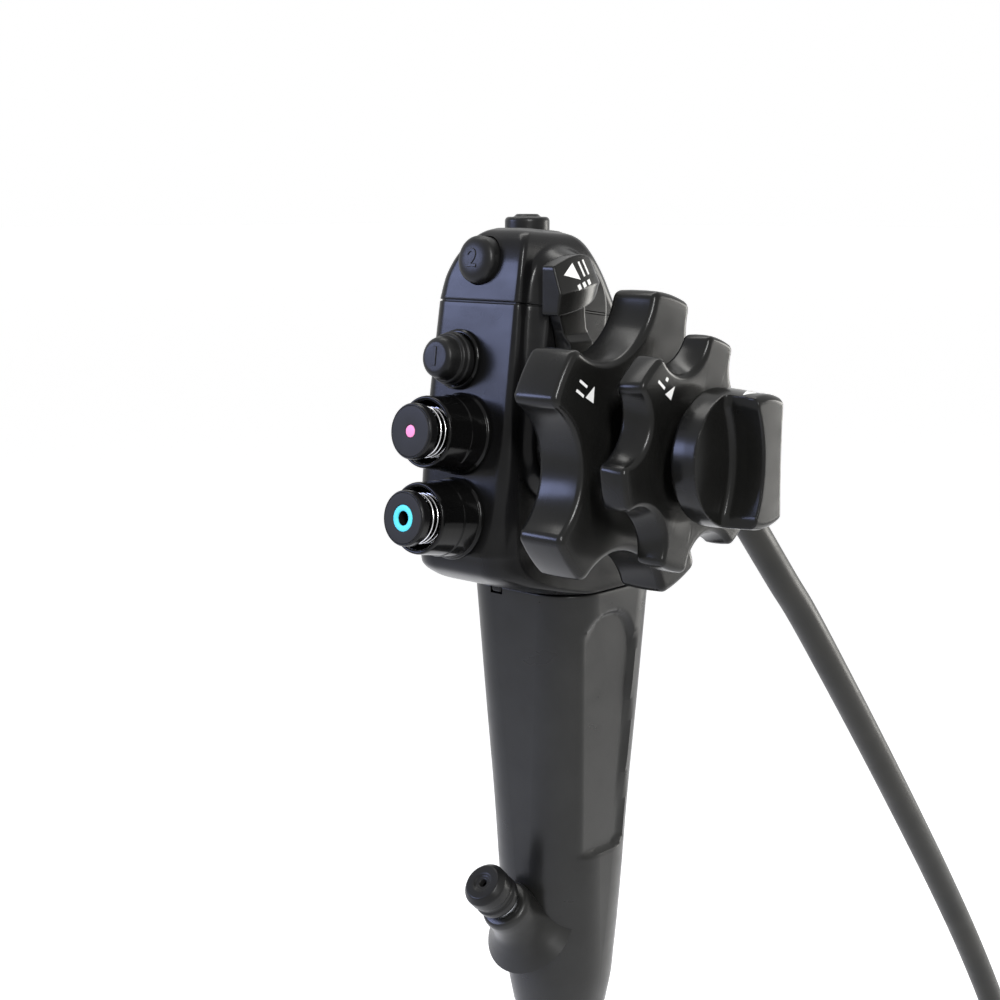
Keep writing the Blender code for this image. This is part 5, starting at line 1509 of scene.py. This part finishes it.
@dataclass
class BrakeKnob:
    """The left/right brake knob: a cylinder with two scoops that leave a bar to turn it by."""

    waist: float = 3.3
    shift: float = 1.8
    flares: Pair = (2.3, 0.4)

    def side(self, sign: int, y: float, grow: float) -> float:
        """How far the bar's near (-1) or far (1) side is from the axis, at a place along it."""
        flare = self.flares[0 if sign < 0 else 1]
        return self.waist + sign * self.shift + flare * min(1.0, abs(y) / 11.5) ** 2 + grow

    def scoop(self, sign: int) -> Piece:
        """What one scoop takes away."""
        rows = []
        reach, outside = 17.0, 18.0
        depths = ((74.0, -0.1), (67.5, 0.0), (65.0, 0.15), (64.2, 0.4), (63.8, 0.8), (63.6, 1.3))
        for z, grow in depths:
            edge = [(sign * self.side(sign, y, grow), y) for y in np.linspace(-reach, reach, 60)]
            outer = [(sign * outside, reach), (sign * outside, -reach)]
            rows.append(raised(np.array(edge + outer), z))
        return skin("scoop", rows, KNOBS)

    def knob(self) -> Piece:
        """The whole knob."""
        side = [
            (4.6, 57.2), (14.2, 57.2), (14.8, 57.8), (14.85, 60.5), (14.7, 63.5),
            (14.5, 66.0), (14.2, 70.5), (13.2, 71.6), (9.0, 71.69), (0.4, 71.69),
        ]
        body = revolve("knob_body", fair(side, 0.6), KNOBS, sides=160)
        shaped(body, Cut.AWAY, [self.scoop(1), self.scoop(-1)])
        moulded(body, 0.22, 3)
        recess, cavity = bore(11.8, 56.0, 58.2, KNOBS), bore(4.6, 57.0, 61.0, KNOBS)
        return shaped(body, Cut.AWAY, [recess, cavity, bore(2.3, 59.2, 62.9, KNOBS)])

    def build(self, fitter: Fitter) -> None:
        """Makes and fits the knob."""
        knob = self.knob()
        knob.name = "left_right_brake_grip"
        fitter.fit(knob, KNOB_BLACK, Body.LEFT_RIGHT_LOCK, ["left_right_brake_knob"])
        bar_end = Axis.at((0, 0, 0), (-math.pi / 2, 0, 0), on=KNOBS)
        shapes = [
            turned_by(arrow(2.6, 3.2), math.pi / 2, (-1.6, -67.2)),
            stroke((0.9, -69.0), (0.9, -65.4), 0.6),
            stroke((2.4, -69.0), (2.4, -65.4), 0.6),
        ]
        marks = printed("brake_knob_marks", shapes, knob, bar_end)
        fitter.fit(marks, WHITE_PRINT, Body.LEFT_RIGHT_LOCK)


def chaikin(outline: Sequence[Pair]) -> list[Pair]:
    """A closed outline with its corners cut twice."""
    points = np.asarray(outline, float)
    for _ in range(2):
        after = np.roll(points, -1, axis=0)
        near, far = 0.75 * points + 0.25 * after, 0.25 * points + 0.75 * after
        points = np.stack((near, far), axis=1).reshape(-1, 2)
    return [tuple(p) for p in points]


@dataclass
class LockLever:
    """The up/down lock lever: a ring round the neck, an arm, and a thick finger tab."""

    low: float = 17.9
    thickness: float = 3.0
    hole: float = 8.3

    def lever(self) -> Piece:
        """The lever as one moulding."""
        turns = np.radians(np.linspace(118, 422, 60))
        arc = [(11.5 * math.cos(a), 11.5 * math.sin(a)) for a in turns]
        arm = [
            (4.2, 10.4), (2.9, 22.0), (1.4, 31.0), (3.0, 38.0),
            (-7.0, 38.0), (-7.8, 30.0), (-4.6, 22.0), (-5.2, 10.4),
        ]
        high = self.low + self.thickness
        ring = polygon_slab("ring", arc, self.low, high, KNOBS)
        stem = polygon_slab("arm", chaikin(arm), self.low, high, KNOBS)
        shaped(ring, Cut.ADD, [stem, self.tab(), self.knee()])
        moulded(ring, 0.2, 5)
        return shaped(ring, Cut.AWAY, [bore(self.hole, self.low - 2, self.low + 7, KNOBS)])

    def tab(self) -> Piece:
        """The finger tab: its outer side is two planes that meet in a crease."""
        stops = (-9.8, -6.0, -3.0, 0.0, 3.0, 5.0, 6.5, 6.9)
        upper = (39.5, 40.8, 41.6, 41.9, 41.4, 40.2, 38.0, 37.0)
        lower = (28.6, 29.1, 29.6, 30.2, 31.3, 32.8, 35.0, 36.0)
        ridge = (23.4, 23.4, 23.3, 23.1, 22.7, 22.1, 21.2, 20.8)
        rows = []
        for x in np.concatenate(([stops[0], -9.6], np.linspace(-9.2, 6.9, 30))):
            top, foot, peak = (eased(stops, line, x) for line in (upper, lower, ridge))
            crease = min(max(33.4 + 0.13 * (x + 9.8), foot + 0.3), top - 0.3)
            section = [
                (self.low - 0.1, foot), (self.low - 0.1, top),
                (peak - 2.1, top), (peak, crease), (peak - 0.7, foot),
            ]
            size = 0.9 if x == stops[0] else 1.0
            middle = np.mean(section, axis=0)
            corners = [middle + (np.array(corner) - middle) * size for corner in section]
            rows.append(np.array([(x, height, out) for out, height in corners]))
        return skin("tab", rows, KNOBS)

    def knee(self) -> Piece:
        """The outward step at the foot of the arm."""
        side = [
            (25.0, 20.8), (24.2, 21.0), (23.4, 21.5), (22.6, 22.1),
            (21.8, 22.4), (18.0, 22.4), (16.5, 21.4), (15.6, 20.8),
        ]
        low, right, rows = self.low + 0.5, 2.9, []
        for height, out in side:
            left = -4.7 - 0.3 * max(0.0, height - 21.0)
            corners = ((left, low), (right, low), (right, out), (left, out))
            rows.append(np.array([(x, height, z) for x, z in corners]))
        return skin("knee", rows, KNOBS)

    def build(self, fitter: Fitter) -> None:
        """Makes and fits the lever and its marks."""
        lever = self.lever()
        lever.name = "up_down_lock_lever_arm"
        fitter.fit(lever, KNOB_BLACK, Body.UP_DOWN_LOCK, ["up_down_lock_lever"])
        marks = [
            [(-7.3, 37.5), (-2.1, 36.4), (-3.8, 40.1)],
            stroke((-1.6, 40.3), (-0.4, 37.1), 0.6),
            stroke((0.1, 40.7), (1.3, 37.5), 0.6),
        ]
        for spot in ((-3.0, 34.8), (-1.1, 35.3), (0.8, 35.8)):
            marks.append(turned_by(square(0.55), math.radians(20), spot))
        fitter.fit(printed("lock_lever_marks", marks, lever, KNOBS), WHITE_PRINT, Body.UP_DOWN_LOCK)


class KnobStack:
    """Everything on the knob axis outside the housing."""

    UP_DOWN = FingerWheel(
        name="up_down_finger_wheel", node="up_down_wheel", body=Body.UP_DOWN,
        lobes=5, first=math.radians(75.5), tip=34.4, valley=22.8, tip_half=math.radians(11.6),
        corner=2.3, low=28.5, high=40.7, hub_back=25.0, hub=13.5, bore=5.7, edge=1.5, draft=0.4,
    )
    UP_DOWN_MARKS = (
        [(-22.0, 13.1), (-19.4, 11.7), (-19.1, 15.2)],
        stroke((-25.0, 14.9), (-22.6, 13.4), 0.6),
        stroke((-23.9, 16.8), (-21.5, 15.3), 0.6),
    )
    LEFT_RIGHT = FingerWheel(
        name="left_right_finger_wheel", node="left_right_wheel", body=Body.LEFT_RIGHT,
        lobes=6, first=math.radians(71.3), tip=25.6, valley=18.0, tip_half=math.radians(11.3),
        corner=1.8, low=47.0, high=54.0, hub_back=41.0, hub=9.5, bore=3.9, edge=1.15, draft=2.0,
    )
    LEFT_RIGHT_MARKS = (
        [(-12.2, 14.0), (-10.2, 12.6), (-8.9, 15.4)],
        stroke((-14.6, 16.9), (-12.4, 15.2), 0.6),
        stroke((-12.0, 17.3), (-11.3, 16.8), 0.8),
    )

    @staticmethod
    def ring(name: str, sides: tuple[float, float, float, float], soft: float) -> Piece:
        """A plain ring on the knob axis.

        Args:
            name: the piece's name.
            sides: its inner and outer radius, and where it starts and ends.
            soft: how far its edges are rounded.

        Returns:
            The ring.
        """
        inner, outer, low, high = sides
        section = [(inner, low), (outer, low), (outer, high), (inner, high)]
        return revolve(name, fair(section, soft, True), KNOBS, True)

    def build(self, fitter: Fitter) -> None:
        """Makes and fits the wheels, locks and the rings between them."""
        self.UP_DOWN.build(fitter, self.UP_DOWN_MARKS)
        self.LEFT_RIGHT.build(fitter, self.LEFT_RIGHT_MARKS)
        BrakeKnob().build(fitter)
        LockLever().build(fitter)
        for name, node, sides, soft in (
            ("neck_sleeve", "knob_neck", (5.7, 8.0, 12.5, 24.7), 0.3),
            ("lever_keeper", "lever_retaining_ring", (8.3, 10.2, 21.2, 22.2), 0.25),
        ):
            ring = self.ring(name, sides, soft)
            fitter.fit(ring, STEEL, Body.CONTROL, [node])
        for kind, sides in (
            ("up_down", (8.3, 14.0, 22.5, 24.7)),
            ("left_right", (2.3, 10.6, 54.4, 57.9)),
        ):
            # The discs wear the friction lining, darkened as painted shade.
            disc = self.ring(f"{kind}_friction_disc", sides, 0.35)
            fitter.fit(disc, FRICTION_PAINTED_SHADE, Body.CONTROL, [f"{kind}_brake_disc"])
        fitter.dress(BRASS, "up_down_shaft", "left_right_shaft")
        post = [(2.0, self.post_foot()), (2.0, 62.2), (1.6, 62.6)]
        pin = revolve("knob_post_pin", fair(post, 0.2), KNOBS)
        fitter.fit(pin, STEEL, Body.CONTROL, ["knob_post"])
        fitter.dress(STEEL, "post_nut")

    @staticmethod
    def post_foot() -> float:
        """Where the CAD post starts along the knob axis, in millimetres."""
        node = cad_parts["knob_post"]
        return min(-(node.matrix_world @ Vector(corner)).y for corner in node.bound_box) / MM


# ---------------------------------------------------------------- cord and connector


@dataclass
class UniversalCord:
    """The cord: its hanging stretch, the coil that stores the rest, and the connector."""

    radius: float = 4.5
    route: tuple[Spot, ...] = (
        (63.9, 0.0, 20.66),
        (69.2, 0.0, 17.85),
        (76.6, 0.0, 10.0),
        (84.4, 0.0, 1.5),
        (99.6, 0.0, -14.8),
        (111.0, 0.0, -26.7),
        (132.2, 0.0, -51.1),
        (154.4, 0.0, -77.2),
        (177.8, 0.0, -105.3),
        (202.0, 0.0, -135.0),
        (227.0, -0.5, -168.0),
        (249.0, -1.5, -201.0),
        (267.0, -2.8, -233.0),
        (279.5, -4.0, -262.0),
        (284.8, -4.4, -277.0),
        (286.3, -4.5, -285.7),
    )
    coil_centre: Spot = (341.0, 0.0, -318.0)
    coil_radius: float = 50.0
    exit_end: float = -351.8

    def hanging(self) -> np.ndarray:
        """The hanging stretch as a smooth line."""
        points = np.array(self.route)
        ends = np.vstack((2 * points[0] - points[1], points, 2 * points[-1] - points[-2]))
        line = []
        for a, b, c, d in zip(ends, ends[1:], ends[2:], ends[3:]):
            for t in np.linspace(0, 1, 12, endpoint=False):
                bend = (2 * a - 5 * b + 4 * c - d) * t**2 + (3 * b - a - 3 * c + d) * t**3
                line.append(b + 0.5 * ((c - a) * t + bend))
        return np.array(line)

    def coil(self) -> np.ndarray:
        """Four turns, two wide and two narrow, laid side by side."""
        r = self.radius
        big, small = self.coil_radius + r, self.coil_radius - r
        angle = np.linspace(0, 8 * math.pi, 4 * 96 + 1)
        turn = angle / (2 * math.pi)
        inward = smoothstep(turn, 0.78, 1.0)
        outward = smoothstep(turn, 2.78, 3.0)
        across = smoothstep(turn, 1.78, 2.0)
        size = big - (big - small) * inward + (big - small) * outward
        x, _, z = self.coil_centre
        side = -r + 2 * r * across
        return np.column_stack((x - size * np.cos(angle), side, z - size * np.sin(angle)))

    def line(self) -> np.ndarray:
        """The whole centreline, from the boot to the connector."""
        coil = self.coil()
        x, y = coil[0][:2]
        entry = np.array([(286.45, -4.5, -290.0), (x, y, -296.0), (x, y, -304.0), (x, y, -312.0)])
        fall = (-326.0, -334.0, -343.0, self.exit_end)
        drop = np.array([(coil[-1][0], coil[-1][1], z) for z in fall])
        return np.vstack((self.hanging(), np.array(self.route[-1:]), entry, coil, drop))

    def tube(self, line: np.ndarray) -> Piece:
        """A round skin along a line, turned as little as possible."""
        sides = 24
        along = np.gradient(line, axis=0)
        along /= np.linalg.norm(along, axis=1)[:, None]
        side = np.array([0.0, 1.0, 0.0])
        turn = np.arange(sides) * 2 * math.pi / sides
        rows = []
        for spot, way in zip(line, along):
            side = side - way * (side @ way)
            side /= np.linalg.norm(side)
            up = np.cross(way, side)
            circle = np.cos(turn)[:, None] * side + np.sin(turn)[:, None] * up
            rows.append(spot + self.radius * circle)
        return skin("universal_cord_sheath", rows, OBJECT)

    @staticmethod
    def boot(name: str, axis: Axis, span: Pair, radii: Pair, ribs: int) -> Piece:
        """A tapered strain relief with moulded ribs.

        Args:
            name: the piece's name.
            axis: what it stands on.
            span: where it starts and ends along the axis.
            radii: its radius at the start and at the end.
            ribs: the number of ribs.

        Returns:
            The strain relief.
        """
        (low, high), (wide, narrow) = span, radii
        run = high - low
        side = [
            (wide * 0.3, low), (wide - 0.5, low), (wide, low + 0.7), (wide, low + 0.11 * run),
            (wide - 0.9, low + 0.15 * run), (narrow - 0.45, low + 0.95 * run),
            (narrow, low + 0.97 * run), (narrow, high - 0.5), (narrow - 0.5, high),
            (narrow * 0.3, high),
        ]
        body = revolve(f"{name}_body", fair(side, 0.5), axis)
        first = low + 0.22 * run
        pitch = 0.7 * run / (ribs - 1)
        rings = rib_recipe(RUBBER_BLACK.material()).run(
            blank(f"{name}_ribs"),
            Count=ribs,
            Low=first * MM,
            Pitch=pitch * MM,
            Wide=(wide - 1.15) * MM,
            Narrow=(narrow - 0.65) * MM,
            Thickness=0.75 * MM,
        )
        return joined(name, [body, shaded(moved(rings, axis))])

    def tie(self) -> Piece:
        """The strap round the coil, with rounded edges and a lapped end."""
        x, _, z = self.coil_centre
        middle = z + self.coil_radius
        rows = []
        section = [(-4.0, 0.0), (4.0, 0.0), (4.0, 1.2), (-4.0, 1.2)]
        for across, grow in fair(section, 0.5, True):
            height, depth = 9.5 + grow, 9.3 + grow
            flat = round_rect(-height, height, -depth, depth, 2.6, 2.6, (20, 14, 20, 14, 8))
            beside = np.full(len(flat), x + across)
            rows.append(np.column_stack((beside, flat[:, 1], middle + flat[:, 0])))
        return skin("coil_strap", rows, OBJECT, ring=True)

    def plug_body(self) -> Piece:
        """The connector's moulded body with its finger grooves, socket and air pipe."""
        side = [
            (8.2, 30.3), (9.6, 30.5), (10.6, 31.6), (11.1, 34.0), (12.4, 38.0), (14.6, 41.6),
            (15.74, 45.0), (15.74, 47.0), (15.2, 47.8), (15.2, 48.6), (15.74, 49.4), (15.74, 51.0),
            (15.2, 51.8), (15.2, 52.6), (15.74, 53.4), (15.74, 74.0), (14.6, 78.0), (12.4, 80.3),
        ]
        body = revolve("plug_body", fair(side, 0.8), PLUG, sides=128)
        pipe = [
            (1.6, 74.0), (1.6, 83.0), (1.95, 83.4), (1.95, 84.2), (1.6, 84.6),
            (1.6, 87.6), (1.95, 88.0), (1.95, 88.8), (1.1, 90.3),
        ]
        beside = Axis.at((0, 10.5, 0), on=PLUG)
        shaped(body, Cut.ADD, [revolve("air_pipe", fair(pipe, 0.25), beside, sides=40)])
        return shaped(body, Cut.AWAY, [bore(8.0, 7.0, 24.0, SOCKET)])

    def contacts(self) -> Piece:
        """The socket's metal cup, its centre pin and a ring of small pins."""
        cup = [
            (7.4, 7.3), (7.4, 17.0), (6.2, 17.0), (6.2, 8.5),
            (2.0, 8.5), (1.5, 8.9), (1.5, 11.2), (1.2, 11.5),
        ]
        body = revolve("cup", fair(cup, 0.2), SOCKET)
        thin = fair([(0.35, 8.3), (0.35, 11.0), (0.2, 11.4)], 0.12)
        pin = revolve("pin", thin, Axis.at((4.1, 0, 0)), sides=16)
        pins = round_repeat(STEEL.material(), "ring_of_pins").run(pin, Count=12)
        return joined("socket_contacts", [body, moved(pins, SOCKET)])

    def prong(self) -> Piece:
        """The light guide prong with its collar."""
        side = [
            (8.0, 80.6), (8.0, 83.1), (4.9, 83.3), (4.5, 84.0), (4.5, 90.0), (4.1, 90.5),
            (4.1, 91.5), (4.5, 92.0), (4.5, 100.6), (3.5, 101.6), (3.5, 104.6),
        ]
        return revolve("light_prong", fair(side, 0.3), PLUG)

    def build(self, fitter: Fitter) -> None:
        """Makes and fits the cord and all that is on it."""
        line = self.line()
        length = float(np.linalg.norm(np.diff(line, axis=0), axis=1).sum()) * MM
        log.info("universal cord: %.3f m", length)
        cord = self.tube(line)
        nodes = ["universal_cord", "universal_cord_coil"]
        fitter.fit(cord, Sheath(), Body.CONTROL, nodes)
        boot = self.boot("cord_strain_relief", CORD_EXIT, (11.3, 49.3), (9.0, 5.8), 7)
        fitter.fit(boot, RUBBER_BLACK, Body.CONTROL, ["cord_boot"])
        gland = [
            (4.7, -5.0), (6.2, -5.0), (6.2, 7.3), (9.9, 7.3),
            (10.5, 7.9), (10.5, 10.4), (9.9, 11.0), (4.7, 11.0),
        ]
        ring = revolve("gland_ring", fair(gland, 0.3, True), CORD_EXIT, True)
        fitter.fit(ring, STEEL, Body.CONTROL, ["cord_gland"])
        strap = fitter.fit(self.tie(), Webbing(), Body.CONTROL, ["cord_tie"])
        flipped = Axis.at((0, 0, 30.0), (math.pi, 0, 0), on=PLUG)
        relief = self.boot("plug_strain_relief", flipped, (0.0, 30.0), (8.0, 5.6), 5)
        pieces = [
            fitter.fit(piece, finish, Body.CONTROL, [node])
            for piece, finish, slot, node in (
                (relief, RUBBER_BLACK, Slot.RUBBER, "connector_boot"),
                (self.plug_body(), HOUSING_BLACK, Slot.BLACK, "connector_body"),
                (self.contacts(), STEEL, Slot.STEEL, "connector_contacts"),
                (self.prong(), STEEL, Slot.STEEL, "light_guide_prong"),
            )
        ]


# ---------------------------------------------------------------- inner parts and studio


class InnerParts:
    """The works inside, which keep their CAD shapes."""

    @staticmethod
    def build(fitter: Fitter) -> None:
        """Gives each its finish."""
        fitter.dress(STEEL, "chassis_plate")
        fitter.dress(Laminate(), "circuit_board")
        fitter.dress(BRASS, "wire_guide_block")
        fitter.dress(ClearHose(), "suction_hose", "air_water_hose")
        fitter.dress(DARK_SHEATH, "light_guide_bundle")
        for name in ("up", "down", "right", "left"):
            fitter.dress(STEEL, f"{name}_wire", f"{name}_coil_pipe")


@dataclass(frozen=True)
class Lamp:
    """A soft rectangular lamp that looks at the control section."""

    name: str
    spot: Spot
    size: Pair
    power: float
    colour: Colour

    def build(self) -> None:
        """Puts the lamp in the scene."""
        data = bpy.data.lights.new(self.name, "AREA")
        data.shape = "RECTANGLE"
        data.size, data.size_y = self.size
        data.energy = self.power
        data.color = self.colour
        lamp = linked(self.name, data)
        lamp.location = self.spot
        aim = Vector((-0.02, -0.02, 0.03)) - Vector(self.spot)
        lamp.rotation_euler = aim.to_track_quat("-Z", "Y").to_euler()


@dataclass
class Studio:
    """Camera, floor, plain bright surroundings and soft lamps, in metres."""

    target: Spot = (-0.02281, 0.0, 0.02494)
    distance: float = 0.4026
    azimuth: float = math.radians(-47.75)
    elevation: float = math.radians(9.75)
    lens: float = 61.72
    floor_z: float = -0.4575

    def camera(self) -> None:
        """The camera at the photograph's viewing angle."""
        az, el = self.azimuth, self.elevation
        back = Vector((math.sin(az) * math.cos(el), -math.cos(az) * math.cos(el), math.sin(el)))
        data = bpy.data.cameras.new("view")
        data.sensor_width = 36.0
        data.lens = self.lens
        data.clip_start = 0.01
        eye = linked("view", data)
        eye.location = Vector(self.target) + back * self.distance
        eye.rotation_euler = back.to_track_quat("Z", "Y").to_euler()
        bpy.context.scene.camera = eye

    @staticmethod
    def shown(graph: Graph) -> Socket:
        """A socket that is 1 for camera, glossy and transmission rays."""
        rays = graph.add("ShaderNodeLightPath").node.outputs
        total = rays["Is Camera Ray"]
        for name in ("Is Glossy Ray", "Is Transmission Ray"):
            total = graph.sum("MAXIMUM", total, rays[name])
        return total

    def floor(self) -> None:
        """A wide pale floor that keeps the object's shadow."""
        mesh = bpy.data.meshes.new("floor")
        w, z = 40.0, self.floor_z
        mesh.from_pydata([(-w, -w, z), (w, -w, z), (w, w, z), (-w, w, z)], [], [(0, 1, 2, 3)])
        made = linked("floor", mesh)
        board = Board("pale_floor")
        board.set(Base_Color=tone(236, 236, 236), Roughness=0.9, Specular_IOR_Level=0.1)
        board.set(Emission_Color=(1.0, 1.0, 1.0))
        board.feed("Emission Strength", board.sum("MULTIPLY", self.shown(board), 0.72))
        mesh.materials.append(board.material)

    def surroundings(self) -> None:
        """A white world for what shows it, and a dimmer one for what it lights."""
        world = bpy.data.worlds.new("surroundings")
        bpy.context.scene.world = world
        world.use_nodes = True
        graph = Graph(world.node_tree)
        light = graph.tree.nodes["Background"]
        light.inputs["Color"].default_value = (1.0, 1.0, 1.0, 1.0)
        limits = {"To Min": 0.3, "To Max": 1.0}
        level = graph.add("ShaderNodeMapRange", {"Value": self.shown(graph)}, limits)
        graph.tree.links.new(level, light.inputs["Strength"])

    def build(self) -> None:
        """Sets up the whole studio."""
        self.camera()
        self.floor()
        self.surroundings()
        for lamp in (
            Lamp("cool_panel", (-0.83, 0.70, 0.31), (0.52, 0.3), 8.2, (0.5, 0.58, 1.0)),
            Lamp("warm_panel", (1.08, -0.46, 0.02), (0.42, 0.6), 9.5, (1.0, 0.98, 0.93)),
            Lamp("key_strip", (-0.52, -0.71, 0.53), (0.07, 0.5), 10.0, (1.0, 1.0, 1.0)),
            Lamp("top_strip", (0.15, 0.35, 1.0), (1.1, 0.22), 5.0, (1.0, 0.99, 0.96)),
        ):
            lamp.build()
        bpy.context.scene.view_settings.view_transform = "Standard"


def main() -> None:
    """Builds the studio and every piece in order."""
    logging.basicConfig(level=logging.INFO, format="%(message)s")
    Studio().build()
    fitter = Fitter()
    UniversalCord().build(fitter)
    ControlBody().build(fitter)
    Grip().build(fitter)
    Valve("suction", FACE, Body.SUCTION, Slot.PINK).build(fitter)
    Valve("air_water", LOWER_VALVE, Body.AIR_WATER, Slot.BLUE).build(fitter)
    Switches().build(fitter)
    KnobStack().build(fitter)
    InnerParts().build(fitter)
    log.info("%d pieces, %d triangles", fitter.count, fitter.triangles)


if __name__ == "__main__":
    main()
